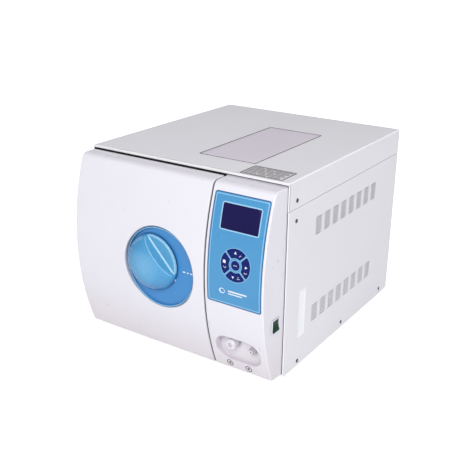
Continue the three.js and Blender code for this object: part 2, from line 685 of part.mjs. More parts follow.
piece('power_inlet', FINISH.black, () => {
  const layer = (xMargin, zMargin, yRange) => box(
    grow(INLET_X, xMargin), yRange, grow(INLET_Z, zMargin));
  const pins = [[-9, -4], [0, 1], [9, -4]].map(([dx, dz]) => {
    const z = middle(INLET_Z) + dz;
    return box(around(middle(INLET_X) + dx, 1.2), [461, DEPTH - 3], [z - 1.5, z + 3.5]);
  });
  return union(
    cut(layer(5, 5, [DEPTH + 0.2, INLET_REAR]), layer(-6, -4, [DEPTH - 2, DEPTH + 6])),
    cut(layer(-0.4, -0.4, [458, DEPTH + 0.4]), layer(-6, -4, [462, DEPTH + 6])),
    ...pins);
});

export default root;
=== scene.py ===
"""A bench-top cabinet appliance: sheet-metal box, moulded front, round door knob.

The front faces -y and bulges forward. The door is on the left of it (-x), with a knob in a
round dish; the control fascia is on the right (+x). Pieces are laid out in millimetres:
x = 0 at mid width, y = 0 at the cabinet's front edge, z = 0 at its bottom edge.
metres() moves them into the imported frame.
"""
import json
from math import asin, atan2, cos, degrees, hypot, pi, radians, sin, sqrt, tan

import bmesh
import bpy
from mathutils import Matrix, Vector


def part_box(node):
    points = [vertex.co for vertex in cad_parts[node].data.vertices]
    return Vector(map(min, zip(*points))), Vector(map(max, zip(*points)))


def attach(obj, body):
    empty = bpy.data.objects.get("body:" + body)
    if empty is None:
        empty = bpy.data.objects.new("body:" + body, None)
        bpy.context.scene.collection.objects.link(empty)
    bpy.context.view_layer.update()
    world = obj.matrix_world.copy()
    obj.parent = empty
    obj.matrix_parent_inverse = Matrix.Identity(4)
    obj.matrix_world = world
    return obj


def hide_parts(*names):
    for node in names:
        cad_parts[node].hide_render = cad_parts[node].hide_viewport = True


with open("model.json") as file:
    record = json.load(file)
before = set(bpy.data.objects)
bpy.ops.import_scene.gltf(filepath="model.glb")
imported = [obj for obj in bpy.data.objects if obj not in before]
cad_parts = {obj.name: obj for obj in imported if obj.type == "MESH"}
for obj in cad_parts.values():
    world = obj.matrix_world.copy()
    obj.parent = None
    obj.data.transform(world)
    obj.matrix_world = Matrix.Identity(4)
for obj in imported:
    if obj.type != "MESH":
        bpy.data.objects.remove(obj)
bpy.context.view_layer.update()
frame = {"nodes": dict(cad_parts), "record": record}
NODES = frame["nodes"]
SLOT_OF = {part["node"]: part["material_slot"] for part in frame["record"]["subparts"]}

# ---------------------------------------------------------------- main sizes, mm
HALF_WIDTH, DEPTH, HEIGHT = 225.0, 485.0, 380.0
panel_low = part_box("left_side_panel")[0]
OFFSET = (panel_low.x * 1000 + HALF_WIDTH, panel_low.y * 1000, panel_low.z * 1000)

# the moulded front: an arc in the y-z plane
FRONT_R, BULGE, ARC_Z = 490.0, 69.5, 195.0
ARC_Y = FRONT_R - BULGE
FRONT_LOW, FRONT_HIGH = 5.5, 372.5
SHELL_OUTER = 222.0                        # outer side walls of door and fascia
DOOR_RIGHT, FASCIA_LEFT = 93.0, 95.0
DOOR_BACK, FASCIA_BACK = -4.0, 3.0         # y of their back edges

# dish and knob
DISH_X, DISH_Z, DISH_R = -12.0, 188.4, 80.5
DISH_FLOOR_Y = -57.3
shaft_low, shaft_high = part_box("knob_shaft")
KNOB_X = (shaft_low.x + shaft_high.x) * 500 - OFFSET[0]
KNOB_Z = (shaft_low.z + shaft_high.z) * 500 - OFFSET[2]
KNOB_R = 55.4
KNOB_TURN = radians(43.0)
CUT_NORMAL = (cos(KNOB_TURN), sin(KNOB_TURN))      # (x, z), square to the knob's cut
CUT_ALONG = (-sin(KNOB_TURN), cos(KNOB_TURN))
CUT_AT, CUT_FLOOR = 29.5, 65.2             # the cut's distance off centre; floor height

# areas are (low, high, low, high) in the two directions of their plane
KEYPAD = (160.6, 236.5)                    # centre, (x, z)
OVERLAY = (101.6, 215.8, 156.6, 357.8)     # x, z
DISPLAY = (122.6, 200.4, 296.6, 340.8)     # x, z
ROCKER = (-41.0, -14.0, 107.0, 134.0)      # y, z
DRAIN_KNOB, DRAIN_NOZZLE = (140, 66), (183, 62)    # x, z
LID_OPENING = (-15.0, 113.0, 68.0, 334.0)  # x, y
LABEL = (118.0, 207.0, 5.0, 60.0)          # x, y
LEVEL_WINDOW = (52.0, 77.0, 59.5, 158.0)   # y, z


def metres(x, y, z):
    return tuple((value + shift) / 1000.0 for value, shift in zip((x, y, z), OFFSET))


def front_y(z):
    return ARC_Y - sqrt(FRONT_R * FRONT_R - (z - ARC_Z) ** 2)


# ---------------------------------------------------------------- outlines
QUARTER = [pi / 2 * k / 6 for k in range(7)]       # angles of a quarter turn


def spaced(start, end, n):
    return [start + (end - start) * k / n for k in range(n + 1)]


def inset(area, margin):
    return (area[0] + margin, area[1] - margin, area[2] + margin, area[3] - margin)


def circle(cx, cz, radius, n, radius_z=None):
    radius_z = radius_z or radius
    angles = [2 * pi * i / n for i in range(n)]
    return [(cx + radius * cos(a), cz + radius_z * sin(a)) for a in angles]


def rectangle(x0, x1, z0, z1):
    return [(x0, z0), (x1, z0), (x1, z1), (x0, z1)]


def rounded(area, radius, grow=0.0, steps=6, spacing=4.0):
    """Rounded rectangle, grown by grow. Its number of points doesn't depend on grow."""
    x0, x1, z0, z1 = area
    n_x = max(1, round((x1 - x0) / spacing))
    n_z = max(1, round((z1 - z0) / spacing))
    x0, x1, z0, z1 = inset(area, -grow)
    radius = max(radius + grow, 0.05)
    centres = [(x1 - radius, z1 - radius), (x0 + radius, z1 - radius),
               (x0 + radius, z0 + radius), (x1 - radius, z0 + radius)]
    points = []
    for k, (cx, cz) in enumerate(centres):
        for i in range(steps + 1):
            a = radians(90 * k + 90 * i / steps)
            points.append((cx + radius * cos(a), cz + radius * sin(a)))
        a = radians(90 * k + 90)
        start, end = [(x + radius * cos(a), z + radius * sin(a))
                      for x, z in ((cx, cz), centres[(k + 1) % 4])]
        n = n_x if k % 2 == 0 else n_z
        for i in range(1, n):
            points.append(tuple(p + (q - p) * i / n for p, q in zip(start, end)))
    return points


def fillet(points, radii, steps=5):
    """Rounds the inner corners of an open polyline; radii has one value per point."""
    out = [points[0]]
    for before, corner, after, radius in zip(points, points[1:], points[2:], radii[1:]):
        corner = Vector(corner)
        to_before, to_after = Vector(before) - corner, Vector(after) - corner
        len_before, len_after = to_before.length, to_after.length
        to_before, to_after = to_before / len_before, to_after / len_after
        angle = to_before.angle(to_after)
        if radius <= 0 or angle > pi - 1e-3:
            out.append(tuple(corner))
            continue
        reach = min(radius / tan(angle / 2), len_before * 0.49, len_after * 0.49)
        radius = reach * tan(angle / 2)
        centre = corner + (to_before + to_after).normalized() * (radius / sin(angle / 2))
        start, end = corner + to_before * reach, corner + to_after * reach
        first = atan2(start.y - centre.y, start.x - centre.x)
        last = atan2(end.y - centre.y, end.x - centre.x)
        sweep = (last - first + pi) % (2 * pi) - pi
        for k in range(steps + 1):
            a = first + sweep * k / steps
            out.append((centre.x + radius * cos(a), centre.y + radius * sin(a)))
    out.append(points[-1])
    return out


# placing a flat outline in space
def on_front(points, depth):
    """Lays (x, z) points on the curved front, depth behind it."""
    return [(x, front_y(z) + depth, z) for x, z in points]


def on_dish(points, depth):
    return at_y(points, DISH_FLOOR_Y + depth)


def at_x(points, x):
    return [(x, y, z) for y, z in points]


def at_y(points, y):
    return [(x, y, z) for x, z in points]


def at_z(points, z):
    return [(x, y, z) for x, y in points]


# ---------------------------------------------------------------- mesh tools
class Surface:
    """Vertices in millimetres, and faces."""

    def __init__(self):
        self.verts, self.faces, self.last = [], [], None

    def vert(self, *point):
        self.verts.append(point)
        return len(self.verts) - 1

    def loop(self, points):
        return [self.vert(*point) for point in points]

    def bridge(self, first, second, closed=True):
        n = len(first)
        for i in range(n if closed else n - 1):
            j = (i + 1) % n
            self.faces.append((first[i], first[j], second[j], second[i]))

    def grow(self, points):
        """Adds a loop and joins it to the last one."""
        loop = self.loop(points)
        if self.last:
            self.bridge(self.last, loop)
        self.last = loop
        return loop

    def cap(self, loop):
        self.faces.append(tuple(loop))


def add_object(name, data):
    obj = bpy.data.objects.new(name, data)
    bpy.context.scene.collection.objects.link(obj)
    return obj


def modify(obj, name, kind, **settings):
    modifier = obj.modifiers.new(name, kind)
    for key, value in settings.items():
        setattr(modifier, key, value)


def make(name, surface, material, body="cabinet", node=None, slot=None, smooth=40,
         thickness=0.0, bevel=0.0, merge=1e-5, facing=None):
    """A welded object riding on body; edges sharper than smooth degrees stay sharp.

    facing is the way an open sheet's summed normal points."""
    bm = bmesh.new()
    verts = [bm.verts.new(metres(*point)) for point in surface.verts]
    for face in surface.faces:
        bm.faces.new([verts[i] for i in face])
    bmesh.ops.remove_doubles(bm, verts=bm.verts, dist=merge)
    bmesh.ops.dissolve_degenerate(bm, edges=bm.edges, dist=merge * 0.5)
    loose = [v for v in bm.verts if not v.link_faces]
    if loose:
        bmesh.ops.delete(bm, geom=loose, context="VERTS")
    bmesh.ops.recalc_face_normals(bm, faces=bm.faces)
    if facing:
        total = Vector((0, 0, 0))
        for face in bm.faces:
            total += face.normal * face.calc_area()
        if total.dot(Vector(facing)) < 0:
            bmesh.ops.reverse_faces(bm, faces=bm.faces)
    mesh = bpy.data.meshes.new(name)
    bm.to_mesh(mesh)
    bm.free()

    obj = add_object(name, mesh)
    mesh.materials.append(FINISH[material])
    for polygon in mesh.polygons:
        polygon.use_smooth = True
    if thickness:
        modify(obj, "shell", "SOLIDIFY", thickness=thickness / 1000.0, offset=-1.0,
               use_even_offset=True, use_quality_normals=True)
    if bevel:
        modify(obj, "edge", "BEVEL", width=bevel / 1000.0, segments=2,
               limit_method="ANGLE", angle_limit=radians(smooth))
    mark_sharp(mesh, radians(smooth))
    if obj.modifiers:
        modify(obj, "normals", "WEIGHTED_NORMAL", keep_sharp=True, weight=60)
    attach(obj, body)
    if node:
        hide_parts(node)
    slot = slot or SLOT_OF.get(node)


def mark_sharp(mesh, limit):
    """Marks open edges and those sharper than limit."""
    bm = bmesh.new()
    bm.from_mesh(mesh)
    for edge in bm.edges:
        edge.smooth = not (len(edge.link_faces) != 2 or edge.calc_face_angle(0.0) > limit)
    bm.to_mesh(mesh)
    bm.free()


def stack(name, loops, material, ring=False, **options):
    """Skins equal loops in turn; the ends are capped or, in a ring, joined."""
    surface = Surface()
    ids = [surface.grow(points) for points in loops]
    if ring:
        surface.bridge(ids[-1], ids[0])
    else:
        surface.cap(ids[0])
        surface.cap(ids[-1])
    make(name, surface, material, **options)


def lathe(name, profile, centre, material, n, **options):
    """Turns (radius, y) points about an axis along y through centre (x, z)."""
    stack(name, [at_y(circle(*centre, r, n), y) for r, y in profile], material, **options)


def slab(name, area, radius, levels, material, place=at_z, steps=5, spacing=8.0, **options):
    """A rounded rectangle stacked through levels of (growth, position)."""
    loops = [place(rounded(area, radius, grow, steps, spacing), level) for grow, level in levels]
    stack(name, loops, material, **options)


def band(name, outer, inner, front, back, material, place=on_front, **options):
    """A flat band between two equal outlines."""
    loops = [place(outer, back), place(outer, front), place(inner, front), place(inner, back)]
    stack(name, loops, material, ring=True, **options)


# ---------------------------------------------------------------- shader tools
def srgb(*rgb):
    def linear(c):
        return c / 12.92 if c <= 0.04045 else ((c + 0.055) / 1.055) ** 2.4
    return tuple(linear(c / 255) for c in rgb)


def scaled(colour, factor, lift=0.0):
    return tuple(min(1, c * factor + lift) for c in colour)


class Nodes:
    """Adds nodes to the tree of a material or world; main is its surface node."""

    def __init__(self, owner, main="BSDF_PRINCIPLED"):
        self.owner = owner
        owner.use_nodes = True
        self.tree = owner.node_tree
        self.main = next(node for node in self.tree.nodes if node.type == main)

    def put(self, inputs, node=None):
        """Links each input that is given a socket, and sets the others."""
        for key, value in inputs.items():
            socket = (node or self.main).inputs[key]
            if isinstance(value, bpy.types.NodeSocket):
                self.tree.links.new(value, socket)
            else:
                socket.default_value = value

    def node(self, kind, inputs, **settings):
        node = self.tree.nodes.new("ShaderNode" + kind)
        for key, value in settings.items():
            setattr(node, key, value)
        self.put(inputs, node)
        return node

    def mapped(self, **inputs):
        vector = self.node("TexCoord", {}).outputs["Object"]
        return self.node("Mapping", {"Vector": vector, **inputs}).outputs["Vector"]

    def coords(self, scale=(1, 1, 1)):
        return self.mapped(Scale=scale)

    def mm_from(self, origin=(0.0, 0.0, 0.0), keep=(1, 1, 1)):
        """Working millimetres from origin; keep drops an axis where it is 0."""
        return self.mapped(
            Scale=tuple(1000.0 * k for k in keep),
            Location=tuple(-(o + s) * k for o, s, k in zip(origin, OFFSET, keep)))

    def noise(self, vector, scale, detail=4, rough=0.5):
        return self.node("TexNoise", {"Vector": vector, "Scale": scale, "Detail": detail,
                                      "Roughness": rough}).outputs["Fac"]

    def ramp(self, value, to=(0.0, 1.0), span=(0.3, 0.7)):
        """Maps span on to the range to."""
        return self.node("MapRange", {"Value": value, "From Min": span[0], "From Max": span[1],
                                      "To Min": to[0], "To Max": to[1]}).outputs["Result"]

    def fade(self, value, off, on):
        """A smooth mask: 0 at off, 1 at on."""
        return self.node("MapRange", {"Value": value, "From Min": off, "From Max": on},
                         interpolation_type="SMOOTHSTEP").outputs["Result"]

    def mix(self, factor, first, second, blend="MIX"):
        first, second = [(*c, 1) if isinstance(c, tuple) else c for c in (first, second)]
        return self.node("Mix", {0: factor, 6: first, 7: second},
                         data_type="RGBA", blend_type=blend).outputs[2]

    def times(self, first, second):
        return self.node("Math", {0: first, 1: second}, operation="MULTIPLY").outputs[0]

    def dot(self, first, second):
        return self.node("VectorMath", {0: first, 1: second},
                         operation="DOT_PRODUCT").outputs["Value"]

    def length(self, vector):
        return self.node("VectorMath", {0: vector}, operation="LENGTH").outputs["Value"]

    def paint(self, base, colour, *masks, weight=None):
        """Lays colour over base where every mask is on."""
        factor = masks[0]
        for mask in masks[1:]:
            factor = self.times(factor, mask)
        if weight:
            factor = self.times(factor, weight)
        return self.mix(factor, base, colour)

    def darken(self, base, rgb, mask):
        return self.mix(mask, base, self.mix(1.0, base, rgb, "MULTIPLY"))

    def bump(self, height, strength, distance, normal=None):
        inputs = {"Height": height, "Strength": strength, "Distance": distance}
        if normal:
            inputs["Normal"] = normal
        return self.node("Bump", inputs).outputs["Normal"]

    def edge_wear(self, base, light, amount, radius):
        """Paler edges, partly wear and partly a painted highlight, found where a rounded normal
        leaves the true one.
        """
        bevelled = self.node("Bevel", {"Radius": radius}, samples=4).outputs["Normal"]
        true = self.node("NewGeometry", {}).outputs["Normal"]
        edge = self.ramp(self.dot(bevelled, true), to=(amount, 0.0), span=(0.90, 0.995))
        patches = self.noise(self.coords(), scale=260, detail=5, rough=0.6)
        patches = self.ramp(patches, to=(0.35, 1.0), span=(0.35, 0.65))
        return self.mix(self.times(edge, patches), base, light)

    def crease(self, base, amount, reach):
        """Painted shade: darker in corners and joints."""
        occlusion = self.node("AmbientOcclusion", {"Distance": reach}, samples=16).outputs["AO"]
        shade = (1 - amount, 1 - amount * 1.02, 1 - amount * 0.92)
        dark = self.mix(1.0, base, shade, "MULTIPLY")
        return self.mix(self.ramp(occlusion, span=(0.15, 0.95)), dark, base)


# ---------------------------------------------------------------- painted light and shade, in mm
def fold_painted_highlight(nodes, base):
    """Painted highlight where sheet folds catch the light: the front returns and the cover's long
    edges.
    """
    point = nodes.mm_from()
    y, z = nodes.dot(point, (0, 1, 0)), nodes.dot(point, (0, 0, 1))
    side = nodes.node("Math", {0: nodes.dot(point, (1, 0, 0))}, operation="ABSOLUTE").outputs[0]
    light = srgb(250, 250, 253)
    base = nodes.paint(base, light, nodes.fade(y, off=2.6, on=0.9),
                       nodes.fade(y, off=-3.0, on=-0.5), weight=0.85)
    return nodes.paint(base, light, nodes.fade(side, off=221.8, on=223.6),
                       nodes.fade(z, off=376.4, on=378.4), weight=0.75)


def moulding_painted_shade(nodes, base):
    """Painted shade on right-facing and top faces and towards the bottom; a painted dark blue
    shadow line on the door at the dish's rim, strongest at the upper right.
    """
    normal = nodes.node("NewGeometry", {}).outputs["Normal"]
    right = nodes.dot(normal, (1, 0, 0))
    z = nodes.dot(nodes.mm_from(), (0, 0, 1))
    # painted shade on right-facing and top faces
    base = nodes.darken(base, (0.885, 0.88, 0.89), nodes.fade(right, off=0.55, on=0.96))
    upward = nodes.dot(normal, (0, 0, 1))
    base = nodes.darken(base, (0.90, 0.88, 0.90), nodes.fade(upward, off=0.5, on=0.95))
    dish = (DISH_X, 0.0, DISH_Z)
    radius = nodes.length(nodes.mm_from(dish, keep=(1, 0, 1)))
    upper_right = nodes.dot(nodes.mm_from(dish), (0.8, 0.0, 0.6))
    # painted dark blue shadow line round the dish's hole, strongest at the upper right
    base = nodes.paint(base, srgb(44, 86, 138),
                       nodes.fade(radius, off=DISH_R + 0.1, on=DISH_R + 0.5),
                       nodes.fade(radius, off=DISH_R + 2.5, on=DISH_R + 1.5),
                       nodes.fade(upper_right, off=-35.0, on=35.0), weight=0.9)
    # painted shade towards the bottom
    return nodes.darken(base, (0.955, 0.915, 0.90), nodes.fade(z, off=150.0, on=0.0))


def knob_painted_light(nodes, base):
    """Painted light on the knob: painted shade on the lower-left shoulder, painted highlights on
    the dome, along the cut's edges and on its floor.
    """
    point = nodes.mm_from((KNOB_X, 0.0, KNOB_Z), keep=(1, 0, 1))
    radius = nodes.length(point)
    across = nodes.dot(point, (CUT_NORMAL[0], 0, CUT_NORMAL[1]))
    lower_left = nodes.dot(point, (-0.75, 0, -0.66))
    fade = nodes.fade
    # painted shade on the lower-left shoulder
    base = nodes.paint(base, srgb(32, 98, 166), fade(radius, off=26.0, on=KNOB_R),
                       fade(lower_left, off=-40.0, on=34.0), weight=0.8)
    inner = fade(radius, off=KNOB_R - 1.0, on=KNOB_R - 5.0)
    # painted highlight on the dome, paler towards the middle
    base = nodes.paint(base, srgb(150, 212, 246), fade(radius, off=38.0, on=6.0),
                       fade(across, off=CUT_AT, on=CUT_AT - 6.0), weight=0.32)
    # everything past the cut made paler, painted light
    base = nodes.paint(base, srgb(96, 170, 208),
                       fade(across, off=CUT_AT - 0.2, on=CUT_AT + 0.1), weight=0.55)
    # painted highlight on the crest before the cut
    base = nodes.paint(base, srgb(160, 216, 246),
                       fade(across, off=CUT_AT - 2.4, on=CUT_AT - 1.3),
                       fade(across, off=CUT_AT - 0.1, on=CUT_AT - 0.6), inner, weight=0.55)
    # painted highlight along the foot of the cut
    base = nodes.paint(base, srgb(206, 240, 252),
                       fade(across, off=CUT_AT + 0.9, on=CUT_AT + 1.9),
                       fade(across, off=CUT_AT + 3.8, on=CUT_AT + 2.6),
                       fade(radius, off=KNOB_R + 1.0, on=KNOB_R - 3.0), weight=0.8)
    # painted highlight on the floor's outer rim
    return nodes.paint(base, srgb(178, 228, 250),
                       fade(across, off=CUT_AT + 2.0, on=CUT_AT + 5.0),
                       fade(radius, off=KNOB_R - 3.0, on=KNOB_R - 1.2), weight=0.7)


# ---------------------------------------------------------------- kinds of material
def plastic(nodes, colour, rough, specular, coat, grain, grain_scale, drift,
            wear=0.0, sss=0.0, crease=0.0, reach=0.0, tint=None):
    """Moulded plastic: colour drift, fine grain, slight waviness, uneven gloss; optional paler
    edges, partly wear and partly a painted highlight; optional painted shade in corners; optional
    painted light and shade from a given function.
    """
    vector = nodes.coords()
    base = nodes.mix(nodes.ramp(nodes.noise(vector, scale=9, detail=3)),
                     scaled(colour, 1 - drift), scaled(colour, 1 + drift))
    if grain > 0.09:
        specks = nodes.ramp(nodes.noise(vector, scale=900, detail=2), to=(0.0, 0.05))
        base = nodes.mix(specks, base, scaled(colour, factor=1.25, lift=0.01))
    # paler edges, partly wear and partly a painted highlight
    if wear:
        base = nodes.edge_wear(base, scaled(colour, factor=1.15, lift=0.05), wear, radius=0.0007)
    # painted light and shade from the given function
    if tint:
        base = tint(nodes, base)
    # painted shade in corners and joints
    if crease:
        base = nodes.crease(base, crease, reach)
    gloss = nodes.noise(vector, scale=38, detail=6, rough=0.65)
    fine = nodes.bump(nodes.noise(vector, grain_scale, detail=2), grain, distance=0.0001)
    wavy = nodes.bump(nodes.noise(vector, scale=7, detail=1, rough=0.3),
                      strength=0.04, distance=0.0003, normal=fine)
    nodes.put({"Base Color": base, "Specular IOR Level": specular, "Normal": wavy,
               "Roughness": nodes.ramp(gloss, to=(rough - 0.035, rough + 0.04)),
               "Coat Weight": coat, "Coat Roughness": 0.12})
    if sss:
        nodes.put({"Subsurface Weight": sss, "Subsurface Scale": 0.6,
                   "Subsurface Radius": (0.006, 0.006, 0.007)})


def powder(nodes, colour, rough, drift, peel, tint=None):
    """Powder-coated sheet: orange peel, faint smears, paler edges that are partly worn and partly
    a painted highlight, and optional painted light.
    """
    vector = nodes.coords()
    base = nodes.mix(nodes.ramp(nodes.noise(vector, scale=6)),
                     scaled(colour, 1 - drift), scaled(colour, 1 + drift))
    specks = nodes.noise(vector, scale=1800, detail=2)
    specks = nodes.ramp(specks, to=(0.0, 0.06), span=(0.55, 0.8))
    base = nodes.mix(specks, base, scaled(colour, factor=0.8))
    # paler edges, partly wear and partly a painted highlight
    base = nodes.edge_wear(base, scaled(colour, factor=1.1, lift=0.1), amount=0.8, radius=0.0009)
    # painted light and shade from the given function
    if tint:
        base = tint(nodes, base)
    smear = nodes.noise(nodes.coords(scale=(1, 0.25, 1)), scale=22, detail=6, rough=0.7)
    fine = nodes.bump(nodes.noise(vector, scale=620, detail=3, rough=0.55),
                      peel, distance=0.00012)
    wavy = nodes.bump(nodes.noise(vector, scale=5, detail=2, rough=0.4),
                      strength=0.06, distance=0.0008, normal=fine)
    nodes.put({"Base Color": base, "Specular IOR Level": 0.45, "Normal": wavy,
               "Roughness": nodes.ramp(smear, to=(rough - 0.07, rough + 0.08))})


def metal(nodes, colour, rough, stretch, scale, brush, drift, anisotropy):
    """Metal with directional brushing, uneven polish and light staining."""
    brushing = nodes.noise(nodes.coords(stretch), scale, detail=8, rough=0.7)
    stains = nodes.noise(nodes.coords(), scale=18, detail=5, rough=0.6)
    base = nodes.mix(nodes.ramp(stains), scaled(colour, 1 - drift), scaled(colour, 1 + drift))
    streaks = nodes.ramp(brushing, to=(0.0, 0.22))
    base = nodes.mix(streaks, base, scaled(colour, factor=0.72))
    nodes.put({"Base Color": base, "Metallic": 1.0, "Anisotropic": anisotropy,
               "Roughness": nodes.ramp(brushing, to=(rough - 0.08, rough + 0.12)),
               "Normal": nodes.bump(brushing, brush, distance=0.00008)})


def rubber(nodes, colour, rough):
    """Matt rubber with a little pale dust."""
    vector = nodes.coords()
    dust = nodes.noise(vector, scale=45, detail=6, rough=0.7)
    dust = nodes.ramp(dust, to=(0.0, 0.35), span=(0.45, 0.75))
    matt = nodes.noise(vector, scale=120)
    nodes.put({"Base Color": nodes.mix(dust, colour, scaled(colour, factor=1.6, lift=0.03)),
               "Roughness": nodes.ramp(matt, to=(rough - 0.1, rough + 0.12)),
               "Normal": nodes.bump(nodes.noise(vector, scale=1500, detail=3),
                                    strength=0.3, distance=0.00015)})


def wool(nodes, colour):
    fibres = nodes.noise(nodes.coords(), scale=320, detail=8, rough=0.75)
    nodes.put({"Base Color": nodes.mix(nodes.ramp(fibres), scaled(colour, factor=0.6), colour),
               "Roughness": 0.95, "Sheen Weight": 0.4,
               "Normal": nodes.bump(fibres, strength=0.8, distance=0.0012)})


# in extras, the edge amount gives paler edges that are partly wear and partly a painted
# highlight, the crease amount painted shade in corners, and the tint function painted light and
# shade
# name, sRGB, roughness, specular, coat, grain, grain scale, colour drift, extras
PLASTICS = [
    ("white_moulding", (240, 239, 246), 0.30, 0.45, 0.12, 0.02, 2400, 0.006,
     dict(crease=0.55, reach=0.008, tint=moulding_painted_shade)),
    ("overlay_blue", (79, 155, 208), 0.30, 0.45, 0.0, 0.08, 1800, 0.03, {}),
    ("overlay_light", (164, 214, 243), 0.32, 0.5, 0.0, 0.05, 1800, 0.02, {}),
    ("overlay_edge", (14, 66, 128), 0.32, 0.5, 0.0, 0.05, 1800, 0.02, {}),
    ("dish_blue", (62, 142, 208), 0.24, 0.5, 0.15, 0.05, 1800, 0.02,
     dict(wear=0.6, crease=0.72, reach=0.005)),
    # the rim bead's pale blue is a painted highlight
    ("dish_rim", (152, 210, 242), 0.2, 0.5, 0.3, 0.03, 1800, 0.02, {}),
    # the gap ring's dark blue is painted shade in the gap round the dish
    ("dish_gap", (16, 62, 112), 0.5, 0.3, 0.0, 0.05, 1800, 0.02, {}),
    ("knob_blue", (80, 163, 214), 0.26, 0.45, 0.22, 0.03, 1900, 0.02,
     dict(wear=0.15, tint=knob_painted_light)),
    ("lcd_glass", (24, 19, 78), 0.12, 0.32, 0.0, 0.0, 900, 0.15, {}),
    ("key_navy", (2, 24, 106), 0.42, 0.25, 0.0, 0.08, 1500, 0.06, {}),
    ("print_white", (236, 240, 248), 0.5, 0.3, 0.0, 0.03, 1500, 0.02, {}),
    ("print_dark", (26, 26, 38), 0.5, 0.3, 0.0, 0.03, 1500, 0.05, {}),
    ("rocker_green", (6, 58, 36), 0.3, 0.14, 0.0, 0.02, 1200, 0.1,
     dict(wear=0.1, crease=0.85, reach=0.005)),
    ("black_plastic", (26, 27, 30), 0.42, 0.45, 0.0, 0.2, 1300, 0.1, dict(wear=0.2)),
    ("lid_lilac", (219, 212, 224), 0.42, 0.3, 0.0, 0.03, 1200, 0.01, {}),
    ("label_foil", (214, 210, 214), 0.36, 0.5, 0.0, 0.05, 1400, 0.03, {}),
    ("tank_plastic", (246, 249, 252), 0.3, 0.45, 0.0, 0.06, 900, 0.03, dict(sss=0.15)),
    ("fitting_grey", (200, 194, 196), 0.38, 0.4, 0.0, 0.05, 1400, 0.03,
     dict(crease=0.25, reach=0.004)),
    ("board_green", (32, 92, 54), 0.4, 0.4, 0.1, 0.1, 700, 0.2, {}),
]
# name, sRGB, roughness, colour drift, orange peel, extras
POWDERS = [
    ("cabinet_paint", (230, 229, 235), 0.48, 0.008, 0.16, dict(tint=fold_painted_highlight)),
    # a paler copy of the cabinet paint, a painted highlight on the cover's front lip
    ("lip_paint", (252, 252, 253), 0.4, 0.008, 0.16, {}),
    ("pump_iron", (46, 49, 54), 0.5, 0.08, 0.4, {}),
]
# name, sRGB, roughness, grain stretch (x, y, z), its scale, its depth, drift, anisotropy, extras
METALS = [
    ("zinc_plate", (176, 182, 188), 0.38, (1, 1, 1), 220, 0.1, 0.14, 0.0, {}),
    ("liner_steel", (205, 206, 209), 0.32, (60, 1, 1), 30, 0.12, 0.06, 0.4, {}),
    ("bright_steel", (205, 206, 210), 0.2, (1, 1, 1), 300, 0.04, 0.05, 0.0, {}),
    ("stainless", (200, 201, 205), 0.3, (1, 1, 40), 36, 0.1, 0.06, 0.4, {}),
    ("brass", (196, 160, 88), 0.26, (1, 1, 1), 200, 0.05, 0.12, 0.0, {}),
    ("fin_aluminium", (200, 202, 206), 0.35, (1, 1, 30), 60, 0.12, 0.06, 0.4, {}),
    ("screw_dark", (92, 94, 100), 0.3, (1, 1, 1), 300, 0.05, 0.1, 0.0, {}),
]
# name, sRGB, roughness, extras
RUBBERS = [
    ("silicone", (214, 208, 196), 0.6, {}),
    # painted shade: near-black for the panels behind the vents and the top gap, grey for the
    # paler lower vent
    ("screen_black", (20, 21, 24), 0.85, {}),
    ("screen_grey", (112, 113, 120), 0.8, {}),
    ("foot_rubber", (40, 40, 43), 0.78, {}),
]
WOOLS = [("jacket_wool", (206, 194, 172), {})]

FINISH = {}
for kind, table in ((plastic, PLASTICS), (powder, POWDERS), (metal, METALS),
                    (rubber, RUBBERS), (wool, WOOLS)):
    for name, rgb, *values, extras in table:
        FINISH[name] = bpy.data.materials.new(name)
        kind(Nodes(FINISH[name]), srgb(*rgb), *values, **extras)

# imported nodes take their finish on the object's own slots
for name, obj in NODES.items():
    for material_slot in obj.material_slots:
        material_slot.link = "OBJECT"
        material_slot.material = FINISH[SLOT_OF[name]]


# ---------------------------------------------------------------- door and fascia shells
TOP_R, BOTTOM_R, SIDE_R = 14.0, 4.0, 3.0   # edge roundings
RIM, SHELL_THICK = 2.1, 2.0                # rounding round an opening; wall
FLOOR_R = 5.0                              # where an opening's wall meets its floor


def edge_centre(radius, z):
    """Centre (y, z) of an edge rounding that touches the front arc from inside."""
    return ARC_Y - sqrt((FRONT_R - radius) ** 2 - (z - ARC_Z) ** 2), z


def tangent_z(centre, radius):
    rise = centre[1] - ARC_Z
    return centre[1] + rise / hypot(centre[0] - ARC_Y, rise) * radius


LOW_EDGE = edge_centre(BOTTOM_R, FRONT_LOW + BOTTOM_R)
HIGH_EDGE = edge_centre(TOP_R, FRONT_HIGH - TOP_R)
ARC_LOW, ARC_HIGH = tangent_z(LOW_EDGE, BOTTOM_R), tangent_z(HIGH_EDGE, TOP_R)
BACK_STEPS, LOW_STEPS, HIGH_STEPS = 4, 6, 9


def shell_profile(depth, back, heights):
    """(y, z) from the back edge below, round the front, to the back edge on top."""
    out = [(y, FRONT_LOW + depth) for y in spaced(back, LOW_EDGE[0], BACK_STEPS)[:-1]]

    def add_edge(centre, radius, start, end, steps):
        for a in spaced(start, end, steps):
            out.append((centre[0] + radius * cos(a), centre[1] + radius * sin(a)))

    low_end, high_start = [atan2(centre[1] - ARC_Z, centre[0] - ARC_Y)
                           for centre in (LOW_EDGE, HIGH_EDGE)]
    add_edge(LOW_EDGE, max(BOTTOM_R - depth, 0.4), -pi / 2, low_end, LOW_STEPS)
    shrink = (FRONT_R - depth) / FRONT_R
    for z in heights:
        out.append((ARC_Y + (front_y(z) - ARC_Y) * shrink, ARC_Z + (z - ARC_Z) * shrink))
    add_edge(HIGH_EDGE, TOP_R - depth, high_start, pi / 2, HIGH_STEPS)
    return out + [(y, FRONT_HIGH - depth) for y in spaced(HIGH_EDGE[0], back, BACK_STEPS)[1:]]


